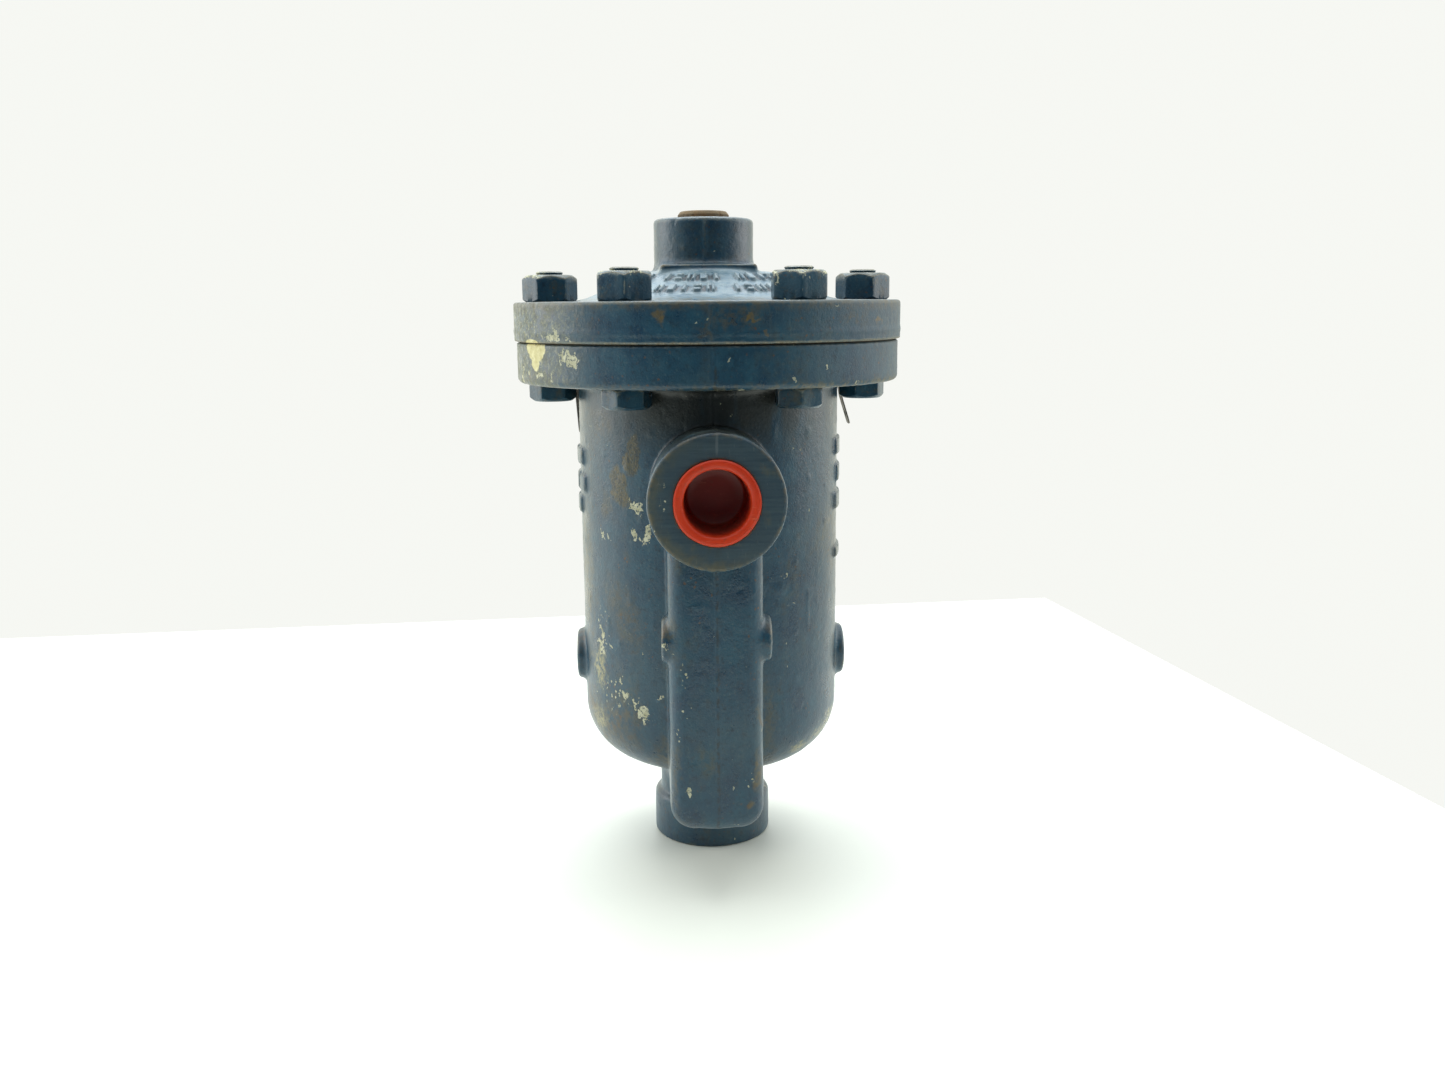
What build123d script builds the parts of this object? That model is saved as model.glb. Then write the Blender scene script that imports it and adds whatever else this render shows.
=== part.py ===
"""Inverted-bucket steam trap: cast-iron body and bolted cover, 1 in NPT side inlet and outlet.

Frame: +Z up, origin at the centre of the bottom boss's standing face. The inlet port faces -Y, the outlet port +Y.
All sizes are in millimetres.
"""
from build123d import *
import math
import os

os.makedirs("parts", exist_ok=True)

# ------------------------------------------------------------------ driving dimensions
PORT_FACE_Y = 98.5        # half of the face-to-face length
PORT_Z = 178.0            # port centreline above the base
PORT_R = 28.3             # round end of each port boss
THREAD_R = 15.75          # 1 in NPT, plain hole at the mean pitch radius
THREAD_L = 22.0
BODY_R = 60.5             # bucket chamber, outside
WALL = 7.0
BODY_BOTTOM_Z = 41.0      # underside of the chamber
KNUCKLE_R = 28.0
FLANGE_R = 88.0           # body flange
COVER_R = 89.0            # cover flange
FLANGE_BOTTOM_Z = 221.8
FLANGE_TOP_Z = 239.8
GASKET_T = 0.8
COVER_BOTTOM_Z = FLANGE_TOP_Z + GASKET_T
COVER_TOP_Z = 257.8
CROWN_Z = 271.0           # top of the cover's dome
RIDGE_Z = 273.7           # top of the outlet passage ridge
RIDGE_X = 21.6
TOP_BOSS_R = 22.8
TOP_BOSS_X = -1.4         # the top boss is cast a little off centre
TOP_BOSS_Z = 294.5
FOOT_R = 28.0             # bottom boss
FOOT_Z = 21.7
NECK_R = 25.0
BOLT_CIRCLE_R = 72.5
BOLT_ANGLES = (-90, -30, 30, 90, 150, 210)   # from -Y towards +X, seen from above
BOLT_R = 6.35             # 1/2 in bolts
BOLT_HOLE_R = 7.15
HEAD_AF = 19.05
NUT_AF = 22.2
NUT_H = 12.2
CHANNEL_Y = 86.0          # outer face of the inlet channel
CHANNEL_X = 19.6          # its half width at that face
CHANNEL_BOTTOM_Z = 27.0
PASSAGE_X = 13.0
TAG_T = 0.6

# lever linkage
PIVOT_Y, PIVOT_Z = 42.0, 229.5
SEAT_Y = 31.0
SCREW_Y = 43.0
OPEN_TILT = 10.4          # lever tilt at rest, valve open, degrees
HOOK_DROP = PIVOT_Y * math.sin(math.radians(OPEN_TILT))   # 7.58
BALL_R = 5.0
BALL_H = 3.38             # ball centre above the lever's middle plane
BUCKET_R = 40.0
BUCKET_T = 1.0
BUCKET_TOP_Z = 213.4      # at rest
BUCKET_H = 147.0


def around(angle, r=BOLT_CIRCLE_R):
    """Point on a circle, the angle measured from -Y towards +X."""
    t = math.radians(angle)
    return r * math.sin(t), -r * math.cos(t)


# ------------------------------------------------------------------ cast marks on the body's two sides
with BuildPart() as side_marks:
    with BuildSketch(Plane.XY.offset(130)):
        Circle(BODY_R + 1.3)
        Circle(BODY_R - 1.5, mode=Mode.SUBTRACT)
    extrude(amount=75)
    # plain raised bars, both sides
    with BuildSketch(Plane.YZ.offset(-80)) as left_bars:
        for z, spans in ((188.0, ((-19, -7), (-4, 5), (8, 21))),
                         (176.0, ((-22, -13), (-10, 8), (11, 17))),
                         (165.6, ((-14, -5), (-2, 4), (7, 19)))):
            for a, b in spans:
                with Locations(((a + b) / 2, z)):
                    RectangleRounded(b - a, 7.8, 1.6)
    left = extrude(amount=75, mode=Mode.PRIVATE)
    with BuildSketch(Plane.YZ.offset(80)) as right_bars:
        for z, spans in ((191.5, ((-20, -9), (-6, 6), (9, 18))),
                         (179.2, ((-17, -11), (-8, 9), (12, 21))),
                         (166.4, ((-21, -8), (-5, 4), (7, 15)))):
            for a, b in spans:
                with Locations(((a + b) / 2, z)):
                    RectangleRounded(b - a, 7.8, 1.6)
        # flow arrow, inlet to outlet
        with BuildLine():
            Polyline((-20, 139.6), (8, 139.6), (8, 134.8), (21, 142.0), (8, 149.2), (8, 144.4), (-20, 144.4), close=True)
        make_face()
    right = extrude(amount=-75, mode=Mode.PRIVATE)
    both = left + right
    add(both, mode=Mode.INTERSECT)

# ------------------------------------------------------------------ body casting
with BuildPart() as body:
    # chamber, neck and foot
    with BuildSketch(Plane.XZ) as outer:
        with BuildLine():
            Polyline((0, 0), (FOOT_R - 1.2, 0), (FOOT_R, 1.2), (FOOT_R, FOOT_Z - 3.5))
            RadiusArc((FOOT_R, FOOT_Z - 3.5), (NECK_R, FOOT_Z), -3.4)
            Polyline((NECK_R, FOOT_Z), (NECK_R, BODY_BOTTOM_Z + 1.6))
            Line((NECK_R, BODY_BOTTOM_Z + 1.6), (0, BODY_BOTTOM_Z + 1.6))
            Line((0, BODY_BOTTOM_Z + 1.6), (0, 0))
        make_face()
    revolve(axis=Axis.Z)
    with BuildSketch(Plane.XZ) as chamber:
        with BuildLine():
            Line((0, BODY_BOTTOM_Z), (BODY_R - KNUCKLE_R, BODY_BOTTOM_Z + 1.0))
            JernArc((BODY_R - KNUCKLE_R, BODY_BOTTOM_Z + 1.0), (1, 0), KNUCKLE_R, 90)
            Polyline((BODY_R, BODY_BOTTOM_Z + 1.0 + KNUCKLE_R), (BODY_R, FLANGE_BOTTOM_Z), (FLANGE_R - 2.5, FLANGE_BOTTOM_Z))
            RadiusArc((FLANGE_R - 2.5, FLANGE_BOTTOM_Z), (FLANGE_R - 0.3, FLANGE_BOTTOM_Z + 2.2), -2.3)
            Polyline((FLANGE_R - 0.3, FLANGE_BOTTOM_Z + 2.2), (FLANGE_R, FLANGE_TOP_Z - 0.6), (FLANGE_R - 0.6, FLANGE_TOP_Z), (0, FLANGE_TOP_Z), (0, BODY_BOTTOM_Z))
        make_face()
    revolve(axis=Axis.Z)
    # inlet channel, drafted sideways, with its lower corner turned under towards the neck
    with BuildSketch(Plane.XZ.offset(CHANNEL_Y)):
        with Locations((0, (PORT_Z + CHANNEL_BOTTOM_Z) / 2)):
            Rectangle(2 * CHANNEL_X, PORT_Z - CHANNEL_BOTTOM_Z)
    with BuildSketch(Plane.XZ.offset(8)):
        with Locations((0, (PORT_Z + CHANNEL_BOTTOM_Z) / 2)):
            Rectangle(2 * (CHANNEL_X + 3.4), PORT_Z - CHANNEL_BOTTOM_Z)
    loft()
    corner = body.edges().filter_by(Axis.X).filter_by(lambda e: abs(e.center().Y + CHANNEL_Y) < 0.1 and e.center().Z < 40)
    fillet(corner, 24.0)
    rim = body.edges().filter_by(lambda e: e.center().Y < -CHANNEL_Y + 16 and abs(e.center().X) > CHANNEL_X - 1.5)
    fillet(rim, 4.0)
    # port bosses
    for side in (1, -1):
        with BuildSketch(Plane.XZ.offset(side * 50)):
            with Locations((0, PORT_Z)):
                Circle(PORT_R + 1.2)
        with BuildSketch(Plane.XZ.offset(side * PORT_FACE_Y)):
            with Locations((0, PORT_Z)):
                Circle(PORT_R)
        loft()
    # outlet riser, from the outlet boss up to the flange
    with BuildSketch(Plane.XY.offset(PORT_Z)):
        with Locations((0, 67)):
            RectangleRounded(2 * CHANNEL_X, 38, 6.0)
    extrude(amount=FLANGE_BOTTOM_Z - PORT_Z + 1)
    # chaplet pads
    with BuildSketch(Plane.YZ.offset(-64.2)):
        with Locations((0, 90.2)):
            Circle(12.0)
    extrude(amount=128.4)
    with BuildSketch(Plane.YZ.offset(-23.4)):
        with Locations((-73.5, 115.6)):
            Circle(9.8)
    extrude(amount=46.8)
    add(side_marks.part)
    # bucket chamber, inside
    with BuildSketch(Plane.XZ) as inner:
        ri, zi = BODY_R - WALL, BODY_BOTTOM_Z + WALL
        k = KNUCKLE_R - WALL
        with BuildLine():
            Line((0, zi), (ri - k, zi))
            JernArc((ri - k, zi), (1, 0), k, 90)
            Polyline((ri, zi + k), (ri, FLANGE_TOP_Z + 1), (0, FLANGE_TOP_Z + 1), (0, zi))
        make_face()
    revolve(axis=Axis.Z, mode=Mode.SUBTRACT)
    # hump over the inlet passage and the boss that holds the inlet tube
    with BuildSketch(Plane.XY.offset(BODY_BOTTOM_Z + 2)):
        with Locations((0, -28.5)):
            Rectangle(38, 57)
        Circle(19)
    extrude(amount=14)
    with BuildSketch(Plane.XY.offset(50)):
        Circle(19)
    extrude(amount=12)
    # inlet passage: down the channel, under the floor, up the middle
    with BuildSketch(Plane.XY.offset(44)):
        with Locations((0, -73)):
            RectangleRounded(2 * PASSAGE_X, 14, 3.0)
    extrude(amount=PORT_Z + 12 - 44, mode=Mode.SUBTRACT)
    with BuildSketch(Plane.XZ.offset(72)):
        with Locations((0, 43)):
            RectangleRounded(2 * PASSAGE_X, 14, 3.0)
    extrude(amount=-72, mode=Mode.SUBTRACT)
    with BuildSketch(Plane.XY.offset(36)):
        Circle(10.5)
    extrude(amount=40, mode=Mode.SUBTRACT)
    with BuildSketch(Plane.XY.offset(52)):
        Circle(12.75)
    extrude(amount=20, mode=Mode.SUBTRACT)
    # bottom opening, 3/4 in NPT, with its lead-in
    with BuildSketch(Plane.XY):
        Circle(12.75)
    with BuildSketch(Plane.XY.offset(18)):
        Circle(12.2)
    loft(mode=Mode.SUBTRACT)
    with BuildSketch(Plane.XY.offset(17)):
        Circle(11.2)
    extrude(amount=25, mode=Mode.SUBTRACT)
    with BuildSketch(Plane.XY):
        Circle(14.0)
    with BuildSketch(Plane.XY.offset(1.3)):
        Circle(12.71)
    loft(mode=Mode.SUBTRACT)
    # port threads, plain, each with a lead-in
    for side in (1, -1):
        with BuildSketch(Plane.XZ.offset(side * PORT_FACE_Y)):
            with Locations((0, PORT_Z)):
                Circle(THREAD_R)
        extrude(amount=-side * (THREAD_L + 1.6), mode=Mode.SUBTRACT)
        with BuildSketch(Plane.XZ.offset(side * PORT_FACE_Y)):
            with Locations((0, PORT_Z)):
                Circle(THREAD_R + 1.6)
        with BuildSketch(Plane.XZ.offset(side * (PORT_FACE_Y - 1.6))):
            with Locations((0, PORT_Z)):
                Circle(THREAD_R)
        loft(mode=Mode.SUBTRACT)
        with BuildSketch(Plane.XZ.offset(side * (PORT_FACE_Y - 20))):
            with Locations((0, PORT_Z)):
                Circle(12.5)
        extrude(amount=-side * 12, mode=Mode.SUBTRACT)
    # outlet passage, from the flange face down to the outlet thread
    with BuildSketch(Plane.XY.offset(PORT_Z)):
        with Locations((0, 71)):
            Circle(7.5)
    extrude(amount=FLANGE_TOP_Z - PORT_Z + 1, mode=Mode.SUBTRACT)
    # bolt holes
    with BuildSketch(Plane.XY.offset(FLANGE_BOTTOM_Z - 3)):
        with Locations(*[around(a) for a in BOLT_ANGLES]):
            Circle(BOLT_HOLE_R)
    extrude(amount=30, mode=Mode.SUBTRACT)
body.part.label = "body_casting"
export_step(body.part, "parts/body_casting.step")

# ------------------------------------------------------------------ cast marks on the cover's cone
with BuildPart() as cover_marks:
    with BuildSketch(Plane.XZ):
        with BuildLine():
            Polyline((31, 269.2), (31, 271.6), (57, 258.9), (57, 257.0), close=True)
        make_face()
    revolve(axis=Axis.Z)
    with BuildSketch(Plane.XY.offset(250)) as glyphs:
        for r, step, first, last, size in ((38.4, 8.0, -76, 76, 5.4), (48.6, 6.7, -67, 67, 5.6)):
            n = 0
            a = first
            while a <= last:
                n += 1
                if n % 6:
                    x, y = around(a, r)
                    with Locations(Location((x, y, 0), (0, 0, a))):
                        kind = (n * 5 + int(r)) % 4
                        if kind == 0:
                            RectangleRounded(3.4, size, 0.8)
                        elif kind == 1:
                            RectangleRounded(1.5, size, 0.6)
                        elif kind == 2:
                            with Locations((0, size / 4 + 0.3), (0, -size / 4 - 0.3)):
                                RectangleRounded(3.6, size / 2 - 0.9, 0.5)
                        else:
                            with Locations((-1.15, 0), (1.15, 0)):
                                RectangleRounded(1.2, size, 0.5)
                a += step
    extrude(amount=30, mode=Mode.INTERSECT)

# ------------------------------------------------------------------ cover casting
with BuildPart() as cover:
    with BuildSketch(Plane.XZ) as dome:
        with BuildLine():
            Polyline((0, COVER_BOTTOM_Z), (COVER_R - 0.5, COVER_BOTTOM_Z), (COVER_R, COVER_BOTTOM_Z + 0.5),
                     (COVER_R - 0.3, COVER_TOP_Z - 1.6), (COVER_R - 1.8, COVER_TOP_Z), (58.5, COVER_TOP_Z))
            Polyline((58.5, COVER_TOP_Z), (32.5, CROWN_Z - 0.9), (29.5, CROWN_Z), (0, CROWN_Z), (0, COVER_BOTTOM_Z))
        make_face()
    revolve(axis=Axis.Z)
    # ridge over the outlet passage
    with BuildSketch(Plane.YZ.offset(-RIDGE_X)):
        with BuildLine():
            Polyline((-27.6, 252), (-27.0, RIDGE_Z), (44, RIDGE_Z), (78, 267.0), (83.5, 262.5), (84.5, 252), close=True)
        make_face()
    extrude(amount=2 * RIDGE_X)
    ridge_top = cover.edges().filter_by(Axis.Y).filter_by(lambda e: abs(abs(e.center().X) - RIDGE_X) < 0.01 and e.center().Z > 272)
    fillet(ridge_top, 1.6)
    # top boss
    with BuildSketch(Plane.XY.offset(262)):
        with Locations((TOP_BOSS_X, 0)):
            Circle(TOP_BOSS_R)
    extrude(amount=TOP_BOSS_Z - 262)
    top_rim = cover.edges().filter_by(GeomType.CIRCLE).sort_by(Axis.Z)[-1]
    fillet(top_rim, 1.8)
    add(cover_marks.part)
    # hollow underside
    with BuildSketch(Plane.XZ):
        with BuildLine():
            Polyline((0, COVER_BOTTOM_Z - 1), (52, COVER_BOTTOM_Z - 1), (52, 250.0), (48, 254), (31, 262), (0, 262), (0, COVER_BOTTOM_Z - 1))
        make_face()
    revolve(axis=Axis.Z, mode=Mode.SUBTRACT)
    # hump under the outlet passage, seat boss, and the wall round the test opening
    with BuildSketch(Plane.XY.offset(246)):
        with Locations((0, 21)):
            Rectangle(38, 78)
        Circle(19)
    extrude(amount=18)
    # outlet passage: over the seat, to the rear, and down through the flange face
    with BuildSketch(Plane.XY.offset(253)):
        with Locations((0, 33)):
            RectangleRounded(15, 91, 6.5)
    extrude(amount=9.5, mode=Mode.SUBTRACT)
    with BuildSketch(Plane.XY.offset(COVER_BOTTOM_Z - 1)):
        with Locations((0, 71)):
            Circle(7.5)
    extrude(amount=16, mode=Mode.SUBTRACT)
    # seat hole
    with BuildSketch(Plane.XY.offset(244)):
        with Locations((0, SEAT_Y)):
            Circle(8.5)
    extrude(amount=12, mode=Mode.SUBTRACT)
    # test opening, 3/4 in NPT
    with BuildSketch(Plane.XY.offset(TOP_BOSS_Z)):
        with Locations((TOP_BOSS_X, 0)):
            Circle(12.75)
    with BuildSketch(Plane.XY.offset(TOP_BOSS_Z - 18)):
        with Locations((TOP_BOSS_X, 0)):
            Circle(12.19)
    loft(mode=Mode.SUBTRACT)
    with BuildSketch(Plane.XY.offset(TOP_BOSS_Z - 17)):
        with Locations((TOP_BOSS_X, 0)):
            Circle(11.0)
    extrude(amount=-20, mode=Mode.SUBTRACT)
    with BuildSketch(Plane.XY.offset(TOP_BOSS_Z - 1.2)):
        with Locations((TOP_BOSS_X, 0)):
            Circle(12.71)
    with BuildSketch(Plane.XY.offset(TOP_BOSS_Z)):
        with Locations((TOP_BOSS_X, 0)):
            Circle(13.9)
    loft(mode=Mode.SUBTRACT)
    # guide plate screw holes
    with BuildSketch(Plane.XY.offset(244)):
        with Locations((-15.5, SCREW_Y), (15.5, SCREW_Y)):
            Circle(2.0)
    extrude(amount=9, mode=Mode.SUBTRACT)
    # bolt holes
    with BuildSketch(Plane.XY.offset(COVER_BOTTOM_Z - 1)):
        with Locations(*[around(a) for a in BOLT_ANGLES]):
            Circle(BOLT_HOLE_R)
    extrude(amount=30, mode=Mode.SUBTRACT)
cover.part.label = "cover_casting"
export_step(cover.part, "parts/cover_casting.step")

# ------------------------------------------------------------------ gasket
with BuildPart() as gasket:
    with BuildSketch(Plane.XY.offset(FLANGE_TOP_Z)):
        Circle(86.8)
        Circle(52.5, mode=Mode.SUBTRACT)
        with Locations((0, 71)):
            Circle(7.5, mode=Mode.SUBTRACT)
        with Locations(*[around(a) for a in BOLT_ANGLES]):
            Circle(BOLT_HOLE_R, mode=Mode.SUBTRACT)
    extrude(amount=GASKET_T)
gasket.part.label = "cover_gasket"
export_step(gasket.part, "parts/cover_gasket.step")

# ------------------------------------------------------------------ cover bolts, heads below
HEAD_TURN = {-90: 5.0, -30: 11.0, 30: 31.0, 90: 6.6, 150: 17.0, 210: -9.0}
NUT_TURN = {-90: 8.4, -30: 31.8, 30: -29.0, 90: -16.8, 150: 11.0, 210: 25.0}
NUT_TOP_Z = COVER_TOP_Z + NUT_H
with BuildPart() as bolts:
    for a in BOLT_ANGLES:
        x, y = around(a)
        drop = TAG_T if a in (-90, 90) else 0.0
        top = FLANGE_BOTTOM_Z - drop
        with BuildSketch(Plane.XY.offset(top - 8.6)):
            with Locations(Location((x, y, 0), (0, 0, HEAD_TURN[a]))):
                RegularPolygon(HEAD_AF / 2, 6, major_radius=False)
        head = extrude(amount=8.6, mode=Mode.PRIVATE)
        with BuildSketch(Plane.XY.offset(top - 8.6)):
            with Locations((x, y)):
                Circle(HEAD_AF / 2 - 0.4)
        cone = extrude(amount=8.6, taper=-60, mode=Mode.PRIVATE)
        add(head & cone)
        with BuildSketch(Plane.XY.offset(top - 0.5)):
            with Locations((x, y)):
                Circle(BOLT_R)
        extrude(amount=NUT_TOP_Z + 1.6 - top + 0.5 - 0.8)
        with BuildSketch(Plane.XY.offset(NUT_TOP_Z + 0.8)):
            with Locations((x, y)):
                Circle(BOLT_R)
        with BuildSketch(Plane.XY.offset(NUT_TOP_Z + 1.6)):
            with Locations((x, y)):
                Circle(BOLT_R - 0.9)
        loft()
bolts.part.label = "cover_bolts"
export_step(bolts.part, "parts/cover_bolts.step")

# ------------------------------------------------------------------ heavy hex nuts
with BuildPart() as nuts:
    for a in BOLT_ANGLES:
        x, y = around(a)
        with BuildSketch(Plane.XY.offset(COVER_TOP_Z)):
            with Locations(Location((x, y, 0), (0, 0, NUT_TURN[a]))):
                RegularPolygon(NUT_AF / 2, 6, major_radius=False)
        prism = extrude(amount=NUT_H, mode=Mode.PRIVATE)
        with BuildSketch(Plane.XZ) as nut_profile:
            with BuildLine():
                Polyline((0, COVER_TOP_Z), (NUT_AF / 2 + 0.3, COVER_TOP_Z), (NUT_AF / 2 + 2.2, COVER_TOP_Z + 1.0),
                         (NUT_AF / 2 + 2.2, NUT_TOP_Z - 1.4), (NUT_AF / 2 - 0.5, NUT_TOP_Z), (0, NUT_TOP_Z), close=True)
            make_face()
        turned = revolve(axis=Axis.Z, mode=Mode.PRIVATE)
        add(prism & turned.moved(Location((x, y, 0))))
    with BuildSketch(Plane.XY.offset(COVER_TOP_Z - 1)):
        with Locations(*[around(a) for a in BOLT_ANGLES]):
            Circle(BOLT_R + 0.06)
    extrude(amount=NUT_H + 2, mode=Mode.SUBTRACT)
nuts.part.label = "cover_nuts"
export_step(nuts.part, "parts/cover_nuts.step")

# ------------------------------------------------------------------ test plug, 3/4 in NPT, square socket
with BuildPart() as test_plug:
    with BuildSketch(Plane(origin=(TOP_BOSS_X, 0, 0), x_dir=(1, 0, 0), z_dir=(0, -1, 0))):
        with BuildLine():
            z0, z1 = TOP_BOSS_Z - 16.0, TOP_BOSS_Z
            r0, r1 = 12.19 + 2 / 32 - 0.06, 12.75 - 0.06
            Polyline((0, z0), (r0 - 0.8, z0), (r0, z0 + 0.8), (r1 - 0.03, z1 - 1.4), (11.75, z1 - 0.5), (11.75, z1 + 1.9), (10.4, z1 + 3.5), (0, z1 + 3.5), close=True)
        make_face()
    revolve(axis=Axis((TOP_BOSS_X, 0, 0), (0, 0, 1)))
    with BuildSketch(Plane.XY.offset(TOP_BOSS_Z + 3.5)):
        with Locations((TOP_BOSS_X, 0)):
            Rectangle(11.2, 11.2, rotation=12)
    extrude(amount=-10, mode=Mode.SUBTRACT)
test_plug.part.label = "test_plug"
export_step(test_plug.part, "parts/test_plug.step")

# ------------------------------------------------------------------ drain plug, same size, sunk in the foot
with BuildPart() as drain_plug:
    with BuildSketch(Plane.XZ):
        with BuildLine():
            Polyline((0, 1.4), (11.6, 1.4), (12.65 - 0.06, 2.6), (12.26 - 0.06, 15.2), (11.4, 16), (0, 16), close=True)
        make_face()
    revolve(axis=Axis.Z)
    with BuildSketch(Plane.XY.offset(1.4)):
        Rectangle(11.2, 11.2)
    extrude(amount=9, mode=Mode.SUBTRACT)
drain_plug.part.label = "drain_plug"
export_step(drain_plug.part, "parts/drain_plug.step")

# ------------------------------------------------------------------ inlet tube
with BuildPart() as tube:
    with BuildSketch(Plane.XY.offset(52)):
        Circle(12.7)
        Circle(10.6, mode=Mode.SUBTRACT)
    extrude(amount=120)
tube.part.label = "inlet_tube"
export_step(tube.part, "parts/inlet_tube.step")

# ------------------------------------------------------------------ bucket
with BuildPart() as bucket:
    zt, zb = BUCKET_TOP_Z, BUCKET_TOP_Z - BUCKET_H
    with BuildSketch(Plane.XZ):
        with BuildLine():
            Line((0, zt), (BUCKET_R - 6, zt))
            JernArc((BUCKET_R - 6, zt), (1, 0), 6, -90)
            Polyline((BUCKET_R, zt - 6), (BUCKET_R, zb + 3), (BUCKET_R + 0.9, zb + 3), (BUCKET_R + 0.9, zb), (BUCKET_R - BUCKET_T, zb), (BUCKET_R - BUCKET_T, zt - 6))
            JernArc((BUCKET_R - BUCKET_T, zt - 6), (0, 1), 6 - BUCKET_T, 90)
            Polyline((BUCKET_R - 6, zt - BUCKET_T), (0, zt - BUCKET_T), (0, zt))
        make_face()
    revolve(axis=Axis.Z)
    # vent hole
    with BuildSketch(Plane.XY.offset(zt - 3)):
        with Locations((14, -16)):
            Circle(1.2)
    extrude(amount=6, mode=Mode.SUBTRACT)
bucket.part.label = "bucket"
export_step(bucket.part, "parts/bucket.step")

# ------------------------------------------------------------------ bucket clip, a bent strip with a window for the lever
WINDOW_Z = PIVOT_Z - HOOK_DROP
with BuildPart() as clip:
    with BuildSketch(Plane.XZ.offset(0.75)):
        with Locations((0, (BUCKET_TOP_Z + 226.2) / 2)):
            Rectangle(16, 226.2 - BUCKET_TOP_Z)
        with Locations((0, WINDOW_Z + 0.0)):
            Rectangle(7.4, 3.5, mode=Mode.SUBTRACT)
    extrude(amount=-1.5)
    top_corners = clip.edges().filter_by(Axis.Y).group_by(Axis.Z)[-1]
    fillet(top_corners, 3)
    with BuildSketch(Plane.XY.offset(BUCKET_TOP_Z)):
        with Locations((0, 6.0)):
            Rectangle(16, 13.5)
    extrude(amount=1.5)
clip.part.label = "bucket_clip"
export_step(clip.part, "parts/bucket_clip.step")

# ------------------------------------------------------------------ clip rivets
with BuildPart() as rivets:
    with BuildSketch(Plane.XY.offset(BUCKET_TOP_Z + 1.5)):
        with Locations((-4.6, 8), (4.6, 8)):
            Circle(2.1)
    extrude(amount=1.2, taper=25)
rivets.part.label = "clip_rivets"
export_step(rivets.part, "parts/clip_rivets.step")

# ------------------------------------------------------------------ lever and what rides on it; the local frame lies in the lever, hook end towards -y
t = math.radians(OPEN_TILT)
LEVER = Plane(origin=(0, PIVOT_Y, PIVOT_Z), x_dir=(1, 0, 0), z_dir=(0, -math.sin(t), math.cos(t)))
with BuildPart() as lever:
    with BuildSketch(LEVER.offset(-1)):
        with Locations((0, -18)):
            Rectangle(11, 33)
        with Locations((0, -0.9)):
            Rectangle(25, 6.6)
        with Locations((0, -40.6)):
            Rectangle(6, 13.6)
        with Locations((-9, 0), (9, 0)):
            SlotOverall(5.4, 3.7, rotation=90, mode=Mode.SUBTRACT)
        with Locations((0, -(PIVOT_Y - SEAT_Y))):
            Circle(2.6, mode=Mode.SUBTRACT)
    extrude(amount=2)
    # rounded fulcrum bar on the pivot axis
    with BuildSketch(Plane.YZ.offset(-4.2)):
        with Locations((PIVOT_Y, PIVOT_Z)):
            Circle(2.2)
    extrude(amount=8.4)
    # upturned lip that keeps the bucket clip on
    with BuildSketch(LEVER.offset(1)):
        with Locations((0, -46.6)):
            Rectangle(6, 1.6)
    extrude(amount=2.6)
lever.part.label = "valve_lever"
export_step(lever.part, "parts/valve_lever.step")

with BuildPart() as ball:
    with BuildSketch(Plane(origin=LEVER.from_local_coords(Vector(0, SEAT_Y - PIVOT_Y, 0)), x_dir=LEVER.x_dir, z_dir=-LEVER.y_dir)) as ball_profile:
        # local x across the lever, local y along its normal
        with BuildLine():
            cut = math.sqrt(BALL_R ** 2 - (BALL_H - 1.02) ** 2)
            Polyline((0, -2.3), (3.4, -2.3), (3.4, -1.02), (2.5, -1.02), (2.5, 1.02), (cut, 1.02))
            ThreePointArc((cut, 1.02), (BALL_R, BALL_H), (0, BALL_H + BALL_R))
            Line((0, BALL_H + BALL_R), (0, -2.3))
        make_face()
    revolve(axis=Axis(LEVER.from_local_coords(Vector(0, SEAT_Y - PIVOT_Y, 0)), LEVER.z_dir))
ball.part.label = "valve_ball"
export_step(ball.part, "parts/valve_ball.step")

with BuildPart() as retainer:
    with BuildSketch(LEVER.offset(1.03)):
        with Locations((0, SEAT_Y - PIVOT_Y)):
            RectangleRounded(13.6, 13.6, 3)
            Circle(4.92, mode=Mode.SUBTRACT)
    extrude(amount=0.9)
    with BuildSketch(LEVER.offset(-2.4)):
        with Locations((-6.25, SEAT_Y - PIVOT_Y), (6.25, SEAT_Y - PIVOT_Y)):
            Rectangle(1.0, 6)
    extrude(amount=3.6)
retainer.part.label = "valve_retainer"
export_step(retainer.part, "parts/valve_retainer.step")

# ------------------------------------------------------------------ valve seat
with BuildPart() as seat:
    with BuildSketch(Plane.XY.offset(238.6)):
        with Locations((0, SEAT_Y)):
            RegularPolygon(8.0, 6, major_radius=False, rotation=0)
    extrude(amount=5.0)
    with BuildSketch(Plane.XY.offset(243.6)):
        with Locations((0, SEAT_Y)):
            Circle(8.45)
    extrude(amount=9.2)
    with BuildSketch(Plane.XY.offset(236.5)):
        with Locations((0, SEAT_Y)):
            Circle(5.0)
    with BuildSketch(Plane.XY.offset(238.6)):
        with Locations((0, SEAT_Y)):
            Circle(6.6)
    loft()
    with BuildSketch(Plane.XY.offset(236)):
        with Locations((0, SEAT_Y)):
            Circle(3.5)
    extrude(amount=20, mode=Mode.SUBTRACT)
seat.part.label = "valve_seat"
export_step(seat.part, "parts/valve_seat.step")

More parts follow.
